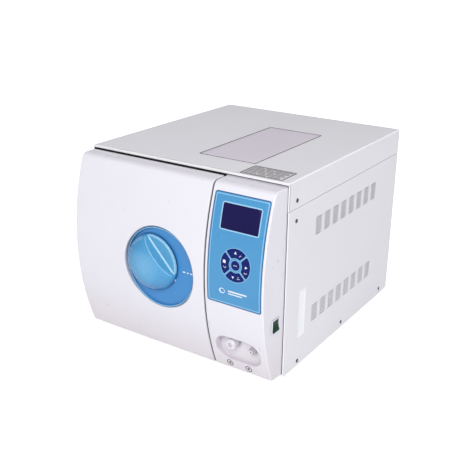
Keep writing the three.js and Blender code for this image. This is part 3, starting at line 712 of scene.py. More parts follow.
def lean(x, y, outer, span=12.0):
    """Outer walls lean in slightly towards the front; returns x."""
    shift = 2.2 * min(max(-y, 0.0) / 65.0, 1.15)
    if outer > 0 and x > outer - span:
        return x - shift * (x - (outer - span)) / span
    if outer < 0 and x < outer + span:
        return x + shift * ((outer + span) - x) / span
    return x


def round_hole(cx, cz, radius):
    """An opening's centre, and its point towards (dx, dz) when grown by grow."""
    def edge(dx, dz, grow):
        d = hypot(dx, dz)
        return cx + dx / d * (radius + grow), cz + dz / d * (radius + grow)
    return (cx, cz), edge


def stadium_hole(cx, cz, width, height):
    """As round_hole, for a slot with round ends."""
    straight, radius = width / 2 - height / 2, height / 2

    def edge(dx, dz, grow):
        d = hypot(dx, dz)
        ux, uz = dx / d, dz / d
        low, high = 0.0, width
        for _ in range(40):
            t = (low + high) / 2
            if hypot(max(abs(ux * t) - straight, 0.0), uz * t) - (radius + grow) > 0:
                high = t
            else:
                low = t
        return cx + ux * low, cz + uz * low
    return (cx, cz), edge


def shell(name, body, node, left, right, back, rows, patch, cells, opening, tube, outer,
          floor=False, left_gaps=(), right_gaps=(), window=None):
    """A moulded shell whose front carries one rimmed opening.

    rows: face rows below and above the patch round the opening; cells: faces across and
    up the patch; tube: y the opening's wall runs back to; floor: whether it is closed.
    Gaps are (z low, z high, y) notches in a side wall; window is a hole in the right one."""
    patch_left, patch_right, patch_low, patch_high = patch
    flat_left, flat_right = left + SIDE_R, right - SIDE_R
    # columns are (x, depth behind the outer surface)
    cols = [(flat_left - SIDE_R * cos(a), SIDE_R - SIDE_R * sin(a)) for a in QUARTER]

    def flat_run(start, end, n):
        cols.extend((x, 0.0) for x in spaced(start, end, n)[1:])
        return len(cols) - 1

    col0 = flat_run(flat_left, patch_left, max(1, round((patch_left - flat_left) / 9)))
    col1 = flat_run(patch_left, patch_right, cells[0])
    flat_run(patch_right, flat_right, max(1, round((flat_right - patch_right) / 9)))
    cols += [(flat_right + SIDE_R * sin(a), SIDE_R - SIDE_R * cos(a)) for a in QUARTER[1:]]
    heights = (spaced(ARC_LOW, patch_low, rows[0])[1:-1] + spaced(patch_low, patch_high, cells[1])
               + spaced(patch_high, ARC_HIGH, rows[1])[1:-1])
    surface = Surface()
    grid = [surface.loop([(lean(x, y, outer), y, z)
                          for y, z in shell_profile(depth, back, heights)])
            for x, depth in cols]
    row0 = BACK_STEPS + LOW_STEPS + 1 + heights.index(patch_low)
    row1 = row0 + cells[1]
    n_rows = len(grid[0])
    for i in range(len(cols) - 1):
        for j in range(n_rows - 1):
            if not (col0 <= i < col1 and row0 <= j < row1):
                surface.faces.append((grid[i][j], grid[i + 1][j],
                                      grid[i + 1][j + 1], grid[i][j + 1]))

    # from the patch's border in to the opening, round its rim and back along its wall
    border = [grid[i][row0] for i in range(col0, col1)]
    border += [grid[col1][j] for j in range(row0, row1)]
    border += [grid[i][row1] for i in range(col1, col0, -1)]
    border += [grid[col0][j] for j in range(row1, row0, -1)]
    (cx, cz), hole_edge = opening
    border_xz = [(surface.verts[i][0], surface.verts[i][2]) for i in border]

    def outline(grow):
        return [hole_edge(x - cx, z - cz, grow) for x, z in border_xz]

    surface.last = border
    for k in range(1, 6):
        t = (k / 5) ** 0.8
        surface.grow(on_front([(x + (hole_x - x) * t, z + (hole_z - z) * t)
                               for (x, z), (hole_x, hole_z) in zip(border_xz, outline(RIM))], 0))
    for a in QUARTER[1:]:
        surface.grow(on_front(outline(RIM * (1 - sin(a))), RIM * (1 - cos(a))))
    wall_end = tube - FLOOR_R if floor else tube
    for k in range(1, 6):
        t = k / 5
        surface.grow([(x, (front_y(z) + RIM) * (1 - t) + wall_end * t, z)
                      for x, z in outline(0.0)])
    if floor:
        for k in range(1, 6):
            a = pi / 2 * k / 5
            surface.grow(at_y(outline(-FLOOR_R * (1 - cos(a))), wall_end + FLOOR_R * sin(a)))
        for grow in (-11.0, -18.0, -24.0):
            surface.grow(at_y(outline(grow), tube))
        surface.cap(surface.last)

    for col, wall_x, gaps in ((grid[0], left, left_gaps), (grid[-1], right, right_gaps)):
        def on_wall(*points):
            return surface.loop([(lean(wall_x, y, outer), y, z) for y, z in points])

        if window and wall_x == right:
            # two faces that meet in front of and behind the window at mid height
            y0, y1, z0, z1 = window
            mid = (z0 + z1) / 2
            split = min(range(n_rows), key=lambda j: abs(surface.verts[col[j]][2] - mid)
                        + (100 if surface.verts[col[j]][1] > -20 else 0))
            front_low, back_low, front_high, back_high, front_mid, back_mid, edge_mid = on_wall(
                (y0, z0), (y1, z0), (y0, z1), (y1, z1), (y0, mid), (y1, mid), (back, mid))
            surface.cap(col[:split + 1] + [front_mid, front_low, back_low, back_mid, edge_mid])
            surface.cap(col[split:] + [edge_mid, back_mid, back_high, front_high, front_mid])
        else:
            notches = []
            for low, high, y in sorted(gaps, key=lambda gap: -gap[0]):
                notches += on_wall((back, high), (y, high), (y, low), (back, low))
            surface.cap(col + notches)
    make(name, surface, "white_moulding", body, node, smooth=48, thickness=SHELL_THICK,
         facing=(0, -1, 0))


SEAM_GAP = (185.0, 203.0, -21.0)           # shared notch where door and fascia meet
shell("door_skin", "door", "door_cover", -SHELL_OUTER, DOOR_RIGHT, DOOR_BACK, rows=(9, 8),
      patch=(-112.0, 88.0, 92.0, 292.0), cells=(32, 32),
      opening=round_hole(DISH_X, DISH_Z, DISH_R), tube=-53.0, outer=-SHELL_OUTER,
      left_gaps=[(102.8, 117.2, -23.0), (270.8, 285.2, -23.0)], right_gaps=[SEAM_GAP])
shell("fascia_skin", "cabinet", "control_fascia", FASCIA_LEFT, SHELL_OUTER, FASCIA_BACK,
      rows=(3, 26), patch=(101.0, 211.0, 22.0, 92.0), cells=(28, 20),
      opening=stadium_hole(156.0, 57.0, 98.0, 54.0), tube=-30.0, outer=SHELL_OUTER,
      floor=True, left_gaps=[SEAM_GAP], window=inset(ROCKER, 0.7))


# ---------------------------------------------------------------- dish
# (radius, y); the bore is centred on the knob's shaft, the rest on the dish
DISH_BORE = 14.0
dish_profile = fillet(
    [(DISH_BORE, DISH_FLOOR_Y), (DISH_R - 3.1, DISH_FLOOR_Y), (DISH_R - 2.2, -61.9),
     (DISH_R - 0.9, -61.9), (DISH_R - 0.9, -54.8), (DISH_BORE, -54.8)],
    [0, 3.2, 0.5, 0.5, 0.5, 0], steps=6)
stack("dish", [at_y(circle(*((KNOB_X, KNOB_Z) if r < 15.0 else (DISH_X, DISH_Z)), r, 144), y)
               for r, y in dish_profile],
      "dish_blue", ring=True, body="door", node="knob_escutcheon", smooth=55)


def dish_ring(name, profile):
    """A thin ring at the dish's edge, of (distance past its radius, y) points."""
    lathe(name, profile, (DISH_X, DISH_Z), name, 144, ring=True, body="door",
          slot="dish_blue", smooth=55)


# a pale bead at the rim, its colour a painted highlight
dish_ring("dish_rim", fillet([(DISH_R - 3.0, -60.9), (DISH_R - 2.7, -62.7),
                              (DISH_R - 1.25, -62.7), (DISH_R - 1.25, -61.0)],
                             [0, 0.6, 0.5, 0]))
# a dark ring in the gap round the dish, painted shade
dish_ring("dish_gap", fillet([(DISH_R - 1.2, -60.4), (DISH_R - 1.2, -61.6),
                              (DISH_R + 0.2, -61.6), (DISH_R + 0.2, -60.4)],
                             [0.1, 0.2, 0.2, 0.1], steps=3))


# ---------------------------------------------------------------- knob
# Heights are -y. Along CUT_NORMAL the top is a dome up to the cut, then a step to a low floor.
CREST_R, FOOT_R = 1.6, 4.6
KNOB_CELLS = 56                            # faces across each row
# (radius, y) under the knob, from its skirt in to the shaft
KNOB_UNDERSIDE = [(55.65, -61.6), (55.8, -61.0), (55.75, -60.4), (55.4, -59.95), (54.6, -59.7),
                  (54.0, -59.5), (53.6, -59.0), (53.4, -58.4), (53.0, -58.0), (10.2, -58.0)]


def dome(radius):
    return 59.9 + 27.4 * sqrt(max(1 - (radius / 55.7) ** 2.6, 0.0))


def floor_height(radius, blend=1.4):
    """The lower of dome and floor, blended where they meet."""
    height = dome(radius)
    near = max(blend - abs(height - CUT_FLOOR), 0.0) / blend
    return min(height, CUT_FLOOR) - near * near * blend * 0.25


def chord(along):
    return sqrt(max(KNOB_R ** 2 - along * along, 0.0))


def knob_point(part, step, spread):
    """(along, across, height); spread runs from -1 to 1 across the row."""
    if part == "dome":
        across = spread * chord(step)
        return step, across, dome(hypot(step, across))
    across = spread * sqrt(KNOB_R ** 2 - CUT_AT ** 2)
    low = floor_height(hypot(CUT_AT, across))
    drop = max(dome(hypot(CUT_AT, across)) - low, 0.0)
    crest_r, foot_r = min(CREST_R, 0.45 * drop), min(FOOT_R, 0.45 * drop)
    high = dome(hypot(CUT_AT - crest_r, across))
    if part == "crest":
        return CUT_AT - crest_r + crest_r * sin(step), across, high - crest_r * (1 - cos(step))
    if part == "wall":
        return CUT_AT, across, (high - crest_r) * (1 - step) + (low + foot_r) * step
    if part == "foot":
        return CUT_AT + foot_r * (1 - cos(step)), across, low + foot_r * (1 - sin(step))
    start = CUT_AT + foot_r
    along = start + (KNOB_R - start) * step
    across = spread * chord(along)
    return along, across, floor_height(hypot(along, across))


def knob_vert(along, across, height):
    return (KNOB_X + CUT_NORMAL[0] * along + CUT_ALONG[0] * across, -height,
            KNOB_Z + CUT_NORMAL[1] * along + CUT_ALONG[1] * across)


def build_knob():
    dome_length = CUT_AT - CREST_R + KNOB_R
    rows = [("dome", -KNOB_R + dome_length * (1 - cos(pi * k / 45)) / 2) for k in range(1, 46)]
    rows += [("crest", a) for a in QUARTER[1:]]
    rows += [("wall", k / 6) for k in range(1, 6)]
    rows += [("foot", a) for a in QUARTER]
    rows += [("floor", sin(pi / 2 * k / 13)) for k in range(1, 13)]
    spreads = [sin(pi / 2 * (2 * k / KNOB_CELLS - 1)) for k in range(KNOB_CELLS + 1)]
    surface = Surface()
    grid = [surface.loop([knob_vert(*knob_point(part, step, spread)) for spread in spreads])
            for part, step in rows]
    for row, following in zip(grid, grid[1:]):
        surface.bridge(row, following, closed=False)
    start = surface.vert(*knob_vert(-KNOB_R, 0.0, dome(KNOB_R)))
    end = surface.vert(*knob_vert(KNOB_R, 0.0, floor_height(KNOB_R)))
    for k in range(KNOB_CELLS):
        surface.cap((start, grid[0][k], grid[0][k + 1]))
        surface.cap((end, grid[-1][k + 1], grid[-1][k]))

    # the rim, without points that nearly coincide, then the underside
    rim = []
    for i in [start] + [row[-1] for row in grid] + [end] + [row[0] for row in reversed(grid)]:
        point = Vector(surface.verts[i])
        if not rim or (point - Vector(surface.verts[rim[-1]])).length > 0.02:
            rim.append(i)
    angles = [atan2(surface.verts[i][2] - KNOB_Z, surface.verts[i][0] - KNOB_X) for i in rim]
    surface.last = rim
    for r, y in KNOB_UNDERSIDE:
        surface.grow([(KNOB_X + r * cos(a), y, KNOB_Z + r * sin(a)) for a in angles])
    surface.cap(surface.last)
    make("turn_knob", surface, "knob_blue", "knob", "door_knob", smooth=62, merge=2e-5)


build_knob()


# ---------------------------------------------------------------- overlay and display
def sheet(name, area, radius, front, back, material, n_x, node, step=4.0, lip=0.3):
    """A thin sheet with rounded corners that follows the curved front."""
    x0, x1, z0, z1 = area
    width = x1 - x0
    corner = [radius * (1 - cos(a)) for a in QUARTER]
    n_z = max(1, round((z1 - z0 - 2 * radius) / step))
    heights = ([z0 + c for c in corner] + spaced(z0 + radius, z1 - radius, n_z)[1:-1]
               + [z1 - c for c in reversed(corner)])
    shares = [0.0, lip / width] + spaced(0, 1, n_x)[1:-1] + [1 - lip / width, 1.0]
    surface = Surface()
    rows = []
    for j, z in enumerate(heights):
        past = max(z0 + radius - z, z - (z1 - radius), 0.0)
        pull = radius - sqrt(max(radius * radius - past * past, 0.0))
        row = []
        for i, share in enumerate(shares):
            edge = i in (0, len(shares) - 1) or j in (0, len(heights) - 1)
            row.append((x0 + pull + (width - 2 * pull) * share,
                        front_y(z) + front + (lip * 0.7 if edge else 0.0), z))
        rows.append(surface.loop(row))
    for row, following in zip(rows, rows[1:]):
        surface.bridge(row, following, closed=False)

    def behind(i):
        x, _, z = surface.verts[i]
        return surface.vert(x, front_y(z) + back, z)

    rim = (rows[0] + [row[-1] for row in rows[1:]] + rows[-1][-2::-1]
           + [row[0] for row in rows[-2:0:-1]])
    rim_behind = [behind(i) for i in rim]
    surface.bridge(rim, rim_behind)
    known = dict(zip(rim, rim_behind))
    back_rows = [[known[i] if i in known else behind(i) for i in row] for row in rows]
    for row, following in zip(back_rows, back_rows[1:]):
        surface.bridge(row, following, closed=False)
    make(name, surface, material, node=node)


def overlay(grow):
    return rounded(OVERLAY, 5.0, grow, spacing=5.0)


def display(grow):
    return rounded(DISPLAY, 2.2, grow, steps=5, spacing=5.0)


def light_line(name, outer, inner, front=-0.3):
    """A pale printed line on the overlay."""
    band(name, outer, inner, front, 0.2, "overlay_light", slot="overlay_blue")


band("overlay_edge", overlay(0.0), overlay(-1.7), -0.12, 0.5, "overlay_edge",
     slot="overlay_blue")
sheet("overlay_face", inset(OVERLAY, 1.3), 3.9, -0.2, 0.45, "overlay_blue", 14,
      "membrane_overlay")
light_line("overlay_line", overlay(-3.5), overlay(-4.6), front=-0.26)
light_line("display_frame", display(2.1), display(-0.2), front=-0.36)
sheet("display_glass", DISPLAY, 2.0, -0.5, 0.3, "lcd_glass", 8, "lcd_window")


# ---------------------------------------------------------------- keys
PAD_X, PAD_Z = KEYPAD
SECTOR_POINTS = 72
# (growth, depth) from behind the overlay to the middle of a key's face
KEY_LEVELS = [(0.0, 0.9), (0.0, -0.15), (-0.25, -0.5), (-0.8, -0.78), (-1.8, -0.92),
              (-3.6, -1.0), (-6.6, -1.02)]


def sector(k, grow):
    """Outline of one of the four outer keys, with rounded corners."""
    inner, outer, half_gap = 13.7 - grow, 30.5 + grow, 1.5 - grow
    start = 45 + 90 * k
    trim_inner = degrees(asin(min(half_gap / inner, 0.99)))
    trim_outer = degrees(asin(min(half_gap / outer, 0.99)))

    def at(radius, angle):
        a = radians(angle)
        return Vector((PAD_X + radius * cos(a), PAD_Z + radius * sin(a)))

    points = [at(outer, start + trim_outer + (90 - 2 * trim_outer) * i / 24) for i in range(25)]
    points += [at(inner, start + trim_inner + (90 - 2 * trim_inner) * (12 - i) / 12)
               for i in range(13)]
    # even spacing, then smoothing to round the corners
    following = points[1:] + points[:1]
    lengths = [(q - p).length for p, q in zip(points, following)]
    total, out, i, passed = sum(lengths), [], 0, 0.0
    for step in range(SECTOR_POINTS):
        distance = total * step / SECTOR_POINTS
        while passed + lengths[i] < distance:
            passed += lengths[i]
            i += 1
        out.append(points[i].lerp(following[i], (distance - passed) / lengths[i]))
    for _ in range(3):
        out = [(out[i - 1] + out[i] * 2 + out[(i + 1) % SECTOR_POINTS]) / 4
               for i in range(SECTOR_POINTS)]
    return [(p.x, p.y) for p in out]


def key_outline(name, grow):
    if name == "center":
        return circle(PAD_X, PAD_Z, 9.0 + grow, 48)
    return sector(KEYS.index(name), grow)


KEYS = ["up", "left", "down", "right", "center"]
for key in KEYS:
    stack("key_" + key, [on_front(key_outline(key, grow), depth) for grow, depth in KEY_LEVELS],
          "key_navy", body="key_" + key, node="button_" + key, smooth=60)
for key in KEYS:
    light_line("key_line_" + key, key_outline(key, 1.0), key_outline(key, 0.4))


# ---------------------------------------------------------------- printed marks
def mark(name, points, body="cabinet", material="print_white", front=-1.1, back=-0.85,
         place=on_front):
    stack(name, [place(points, back), place(points, front)], material, body=body, smooth=30)


def triangle(dx, dz, size, angle):
    """A triangle on the keypad, pointing at angle degrees."""
    angles = [radians(angle + turn) for turn in (0, 125, 235)]
    return [(PAD_X + dx + size * cos(a), PAD_Z + dz + size * sin(a)) for a in angles]


mark("icon_up", triangle(-1.0, 22.8, 3.3, 90), "key_up")
mark("icon_down", triangle(-3.6, -22.0, 3.1, 270), "key_down")
mark("icon_right", triangle(22.2, 1.6, 3.3, 0), "key_right")
ICON_LEFT = ((-3.2, -3.0), (2.6, -3.6), (3.4, 1.4), (0.4, 3.4), (-3.2, 2.6))
mark("icon_left", [(PAD_X - 22.6 + x * 0.92, PAD_Z + 3.6 + z * 0.92) for x, z in ICON_LEFT],
     "key_left")
# key, x and z from the keypad's centre
ICON_DOTS = [
    ("up", 8.2, 18.6), ("up", 9.9, 20.0),
    ("left", -23.6, -6.4), ("left", -20.8, -7.8), ("left", -19.0, -6.4),
    ("right", 19.6, -8.6), ("right", 21.8, -9.8), ("right", 24.0, -8.6),
    ("down", 6.0, -23.0), ("down", 9.4, -22.6), ("down", 7.6, -19.6),
    ("center", -2.6, 0.0), ("center", 0.0, 0.3), ("center", 2.6, 0.0),
]
for i, (key, dx, dz) in enumerate(ICON_DOTS):
    mark("icon_dot_%d" % i, circle(PAD_X + dx, PAD_Z + dz, 0.85, 12), "key_" + key)

# an oval ring and two bars below the keypad
band("plate_ring", circle(134.0, 183.0, 6.2, 32, 5.2), circle(134.8, 183.3, 4.4, 32, 3.6),
     -0.3, 0.0, "print_white", slot="overlay_blue")
for i, (x0, x1, z, half) in enumerate(((147.0, 186.0, 185.2, 1.5), (147.0, 176.0, 180.2, 1.0))):
    mark("plate_bar_%d" % i, rectangle(x0, x1, z - half, z + half), front=-0.3, back=0.0)

# on the dish floor: three dashes (x, width) and a tick
for i, (x, width) in enumerate(((38.0, 7.0), (47.5, 5.0), (55.0, 8.0))):
    mark("dish_print_%d" % i, rectangle(x, x + width * 0.8, 188.9, 191.1), "door",
         front=-0.2, back=0.1, place=on_dish)
mark("dish_tick", [(18.6, 165.8), (20.4, 165.4), (21.6, 169.8), (19.8, 170.4)], "door",
     front=-0.2, back=0.1, place=on_dish)
# ringed dots below the drain recess
for i, centre in enumerate(((132.0, 20.0), (173.0, 19.0))):
    band("drain_mark_%d" % i, circle(*centre, 6.9, 28), circle(*centre, 5.5, 28),
         -0.16, 0.2, "print_dark", slot="white_moulding")
    mark("drain_dot_%d" % i, circle(*centre, 2.5, 16), "cabinet", "print_dark", -0.16, 0.2)


# ---------------------------------------------------------------- rocker and bezel
ROCKER_MID_Y = (ROCKER[0] + ROCKER[1]) / 2
ROCKER_X, ROCKER_Z = 217.0, 120.5          # the cap's middle


def bezel_outer(grow):
    return rounded(ROCKER, 2.5, grow, steps=5)


def bezel_inner(grow):
    return [(-29.2 + (y - ROCKER_MID_Y) * 0.875, z + 0.3) for y, z in bezel_outer(grow - 1.3)]


def build_bezel():
    """A frame with a closed pocket for the rocker, and a box behind it in the wall."""
    surface = Surface()
    first = surface.grow(at_x(bezel_outer(0), 220.4))
    for grow, x in ((0, 222.9), (-0.35, 223.45), (-0.9, 223.6)):
        surface.grow(at_x(bezel_outer(grow), x))
    for grow, x in ((0.35, 223.6), (0.1, 223.4), (0, 223.0), (0, 206.5)):
        surface.grow(at_x(bezel_inner(grow), x))
    surface.cap(surface.last)
    surface.last = first
    for x in (220.4, 205.0):
        surface.grow(at_x(bezel_outer(-0.8), x))
    surface.cap(surface.last)
    make("rocker_bezel", surface, "white_moulding", node="switch_bezel",
         slot="white_moulding", smooth=50)


build_bezel()
# (x, z) section: a cap tilted about its middle
rocker_profile = fillet(
    [(ROCKER_X + dx, ROCKER_Z + dz) for dx, dz in (
        (-6, -3), (1.5, -9.6), (9.0, -9.2), (4.6, 1.0), (5.6, 10.2), (0.5, 10.2), (-6, 3))],
    [0, 1, 0.6, 5.0, 0.6, 1, 0], steps=4)
# (y, section scale)
ROCKER_STATIONS = [
    (ROCKER[0] + 1.5, 0.94), (ROCKER[0] + 1.7, 0.985), (ROCKER[0] + 2.1, 1.0),
    (ROCKER_MID_Y, 1.0),
    (ROCKER[1] - 5.5, 1.0), (ROCKER[1] - 5.1, 0.985), (ROCKER[1] - 4.9, 0.94)]
stack("rocker_cap", [[(ROCKER_X + (x - ROCKER_X) * scale, y,
                       ROCKER_Z + (z - ROCKER_Z) * scale * 1.08) for x, z in rocker_profile]
                     for y, scale in ROCKER_STATIONS],
      "rocker_green", body="rocker", node="switch_rocker", smooth=55)

# ---------------------------------------------------------------- drain fittings
# profiles are (radius, y)
CENTRE_R = 0.01                            # stands for a point on the axis
GRIPS, GRIP_DEPTH = 12, 0.035              # hollows round the cap; share of its radius
cap_profile = [(CENTRE_R, -49.0), (3.4, -49.2)] + fillet(
    [(4.3, -49.4), (4.3, -51.4), (8.4, -51.4), (10.7, -48.6), (10.7, -37.5), (9.5, -33.4),
     (5.4, -33.4)],
    [0, 0.8, 1.6, 1.6, 2.2, 0.8, 0]) + [(5.4, -37.2), (CENTRE_R, -37.2)]
cap_loops = []
for r, y in cap_profile:
    depth = GRIP_DEPTH if r > 9.0 and -48.5 < y < -37 else 0.0
    loop = []
    for i in range(96):
        a = 2 * pi * i / 96
        radius = r * (1 - depth * max(cos(GRIPS * a), 0) ** 2)
        loop.append((DRAIN_KNOB[0] + radius * cos(a), y, DRAIN_KNOB[1] + radius * sin(a)))
    cap_loops.append(loop)
stack("drain_cap", cap_loops, "white_moulding", body="drain_knob", node="drain_valve_knob")
lathe("drain_nozzle", fillet(
    [(CENTRE_R, -40.0), (1.8, -40.0), (1.8, -47.0), (2.2, -47.4), (4.1, -47.4), (4.1, -46.0),
     (4.2, -45.0), (4.2, -38), (4.2, -35.6), (4.2, -32.2), (8.3, -32.2), (8.3, -30.2),
     (4.8, -30.2), (4.8, -13), (CENTRE_R, -13)],
    [0, 0.4, 0.1, 0.15, 0.5, 0.3, 0.3, 0.3, 0.3, 0.3, 0.4, 0.3, 0.3, 0.3, 0], steps=3),
    DRAIN_NOZZLE, "white_moulding", 64, node="drain_coupling_body", slot="white_moulding")
lathe("drain_collar", fillet(
    [(4.7, -36.7), (6.7, -36.7), (7.5, -37.5), (7.5, -42.8), (6.9, -43.5), (4.7, -43.5)],
    [0, 0.4, 0.6, 0.6, 0.4, 0], steps=4),
    DRAIN_NOZZLE, "fitting_grey", 64, ring=True, body="drain_collar",
    node="drain_coupling_collar")
lathe("drain_seat", fillet(
    [(CENTRE_R, -36.8), (4.7, -36.8), (4.7, -32.4), (8.5, -32.4), (8.5, -30.2), (4.7, -30.2),
     (4.7, -12.5), (CENTRE_R, -12.5)],
    [0, 0.4, 0.3, 0.5, 0.3, 0.3, 0.3, 0], steps=3),
    DRAIN_KNOB, "white_moulding", 64, node="drain_valve_body")

# ---------------------------------------------------------------- lid and label, on top
slab("tank_lid", inset(LID_OPENING, 1.0), 4.0,
     ((-1.5, HEIGHT - 2.4), (-1.2, HEIGHT - 2.0), (-1.2, HEIGHT - 0.4), (-1.35, HEIGHT - 0.1),
      (-1.7, HEIGHT), (-12.0, HEIGHT), (-30.0, HEIGHT)),
     "lid_lilac", spacing=12.0, body="tank_lid", node="water_tank_lid")
slab("lid_grip", (20.0, 78.0, 71.5, 75.0), 1.5,
     ((-0.6, HEIGHT - 7.8), (0, HEIGHT - 7.0), (0, HEIGHT - 1.0)),
     "lid_lilac", steps=4, body="tank_lid", slot="lid_lilac")
gasket = inset(LID_OPENING, 0.05)
band("lid_gasket", rounded(gasket, 4.6, 0, 5, 12.0), rounded(gasket, 4.6, -2.1, 5, 12.0),
     HEIGHT + 0.1, HEIGHT - 2.6, "black_plastic", place=at_z, slot="black_plastic")

PRINT_LOW, PRINT_HIGH = HEIGHT - 0.02, HEIGHT + 0.12
slab("label_foil", LABEL, 2.0, ((0, HEIGHT - 0.45), (0, PRINT_LOW), (-0.25, HEIGHT + 0.06)),
     "label_foil", node="label_plate", smooth=30)
border = inset(LABEL, 0.6)
band("label_border", rounded(border, 2.2, 0, 5, 8.0), rounded(border, 2.2, -2.3, 5, 8.0),
     PRINT_HIGH, PRINT_LOW, "print_dark", place=at_z, slot="label_foil")
for row in range(7):
    y = 53.0 - row * 6.9
    split = 142.0 + (row * 23) % 37
    for side, (x0, x1) in enumerate(((123.0, split), (split + 4.0, 202.0 - (row * 5) % 9))):
        slab("label_line_%d" % (2 * row + side), (x0, x1, y - 1.15, y + 1.15), 0.5,
             ((0, PRINT_LOW), (0, PRINT_HIGH)), "print_dark", steps=3, spacing=20.0,
             slot="label_foil", smooth=30)

# ---------------------------------------------------------------- sheet-metal cabinet
SHEET_BACK = [484.4, DEPTH]                # last two lines along a sheet
SIDE_TOP = 326.6                           # where the side panels end
VENT_HIGH, VENT_LOW = 254.7, 74.0          # z of the lowest slot in each vent
SLOTS_Y = [(104.6 + c * 35.1, 104.6 + c * 35.1 + 24.0) for c in range(8)]
SLOT_ROWS = {base: [(base + r * 5.3 - 1.1, base + r * 5.3 + 1.1) for r in range(7)]
             for base in (VENT_HIGH, VENT_LOW)}


def grid_lines(*groups):
    return sorted({round(value, 4) for group in groups for value in group})


def bent(name, path, cross, place, is_hole, thickness, node, facing):
    """Sheet along a 2-D path and over the cross values, leaving hole cells open."""
    surface = Surface()
    cols = [surface.loop([place(p, q, c) for c in cross]) for p, q in path]
    for i in range(len(path) - 1):
        mid_p, mid_q = [(path[i][axis] + path[i + 1][axis]) / 2 for axis in (0, 1)]
        for j in range(len(cross) - 1):
            if not is_hole(mid_p, mid_q, (cross[j] + cross[j + 1]) / 2):
                surface.faces.append((cols[i][j], cols[i + 1][j],
                                      cols[i + 1][j + 1], cols[i][j + 1]))
    make(name, surface, "cabinet_paint", node=node, smooth=35, thickness=thickness,
         bevel=0.25, facing=facing)


def side_sheet(name, sign, vents, window, node):
    """A side panel with its front return; sign is +1 on the right, -1 on the left."""
    rows = [row for base in vents for row in SLOT_ROWS[base]]
    ys = grid_lines([1.9], *SLOTS_Y, SHEET_BACK, spaced(2.0, 484.0, 14), window[:2])
    zs = grid_lines(*rows, spaced(0, SIDE_TOP, 9), window[2:])
    fold = fillet([(223.3, 0.0), (HALF_WIDTH, 0.0), (HALF_WIDTH, 2.0)], [0, 1.2, 0])[:-1]

    def is_hole(x, y, z):
        if x < HALF_WIDTH - 0.1:
            return False
        if window and window[0] < y < window[1] and window[2] < z < window[3]:
            return True
        return (any(low < y < high for low, high in SLOTS_Y)
                and any(low < z < high for low, high in rows))

    bent(name, fold + [(HALF_WIDTH, y) for y in ys], zs, lambda x, y, z: (sign * x, y, z),
         is_hole, 0.9, node, (sign, -0.2, 0))


side_sheet("side_right", 1, (VENT_HIGH, VENT_LOW), LEVEL_WINDOW, "right_side_panel")
side_sheet("side_left", -1, (VENT_HIGH,), (), "left_side_panel")

# painted shade: dark panels behind the vents stand in for the shade inside, the lower right one
# paler; (growth, distance from mid width)
SHADE_PANEL_LEVELS = [(-0.4, 221.2), (0.0, 221.5), (0.0, 222.6), (-0.4, 222.9), (-2.0, 222.9),
                 (-2.4, 222.5), (-12.0, 222.5)]
for name, sign, base, material in (("right_upper", 1, VENT_HIGH, "screen_black"),
                                   ("right_lower", 1, VENT_LOW, "screen_grey"),
                                   ("left_upper", -1, VENT_HIGH, "screen_black")):
    slab("vent_screen_" + name, (100.5, 380.5, base - 5.0, base + 36.8), 3.0,
         [(grow, sign * x) for grow, x in SHADE_PANEL_LEVELS], material, at_x,
         steps=4, spacing=14.0, slot="black_plastic")


def build_cover():
    """The top cover, folded down at both sides, with the lid opening."""
    x0, x1, y0, y1 = LID_OPENING
    fold = fillet([(-HALF_WIDTH, 327.4), (-HALF_WIDTH, HEIGHT), (0.0, HEIGHT)], [0, 2.2, 0],
                  steps=6)[:-1]
    xs = grid_lines([x0, x1], spaced(-222.0, 222.0, 14))
    path = fold + [(x, HEIGHT) for x in xs] + [(-x, z) for x, z in reversed(fold)]
    ys = grid_lines([0.9, y0, y1], SHEET_BACK, spaced(2.0, 484.0, 14))
    bent("cover_sheet", path, ys, lambda x, z, y: (x, y, z),
         lambda x, z, y: z > HEIGHT - 0.1 and x0 < x < x1 and y0 < y < y1,
         1.4, "top_cover", (0, 0, 1))


build_cover()
# (y, z) section of the cover's front edge, in a paler copy of the cabinet paint as a painted
# highlight
lip_profile = fillet([(1.5, 375.3), (0.0, 375.3), (0.0, HEIGHT), (2.6, HEIGHT),
                      (2.6, HEIGHT - 1.2), (1.5, HEIGHT - 1.6)], [0, 0.3, 1.3, 0, 0, 0])
stack("cover_lip", [at_x(lip_profile, x) for x in (-223.6, -120.0, 0.0, 120.0, 223.6)],
      "lip_paint", slot="cabinet_paint", smooth=50)
# the cover's front corners, as an (x, y) section
cheek = fillet([(222.8, 0.0), (HALF_WIDTH, 0.0), (HALF_WIDTH, 2.4), (223.4, 2.4),
                (222.8, 1.4)], [0, 1.6, 0, 0, 0])
for sign, side in ((-1, "left"), (1, "right")):
    stack("cover_cheek_" + side,
          [at_z([(sign * x, y) for x, y in cheek], z) for z in (327.4, 350.0, 377.5)],
          "cabinet_paint", slot="cabinet_paint", smooth=50)

slab("level_window", inset(LEVEL_WINDOW, 0.2), 1.2,
     ((-1.2, 221.0), (0.0, 221.2), (0.0, 224.9), (-0.25, 225.15), (-1.6, 225.2),
      (-2.4, 224.8), (-8.0, 224.8)),
     "tank_plastic", at_x, steps=4, spacing=6.0, node="water_level_window")

# ---------------------------------------------------------------- rear fittings
screw_profile = fillet(
    [(CENTRE_R, 487.0), (1.3, 487.0), (1.6, 487.6), (2.9, 487.3), (3.9, 486.2), (3.9, DEPTH),
     (CENTRE_R, DEPTH)], [0, 0.2, 0.2, 0.8, 0.4, 0.2, 0], steps=4)
REAR_SCREWS = [(-214, 12), (-214, 190), (-214, 368), (0, 368), (214, 368), (214, 190),
               (214, 12), (0, 12)]
for i, centre in enumerate(REAR_SCREWS):
    lathe("rear_screw_%d" % i, screw_profile, centre, "zinc_plate", 32, slot="zinc_plate",
          smooth=35)

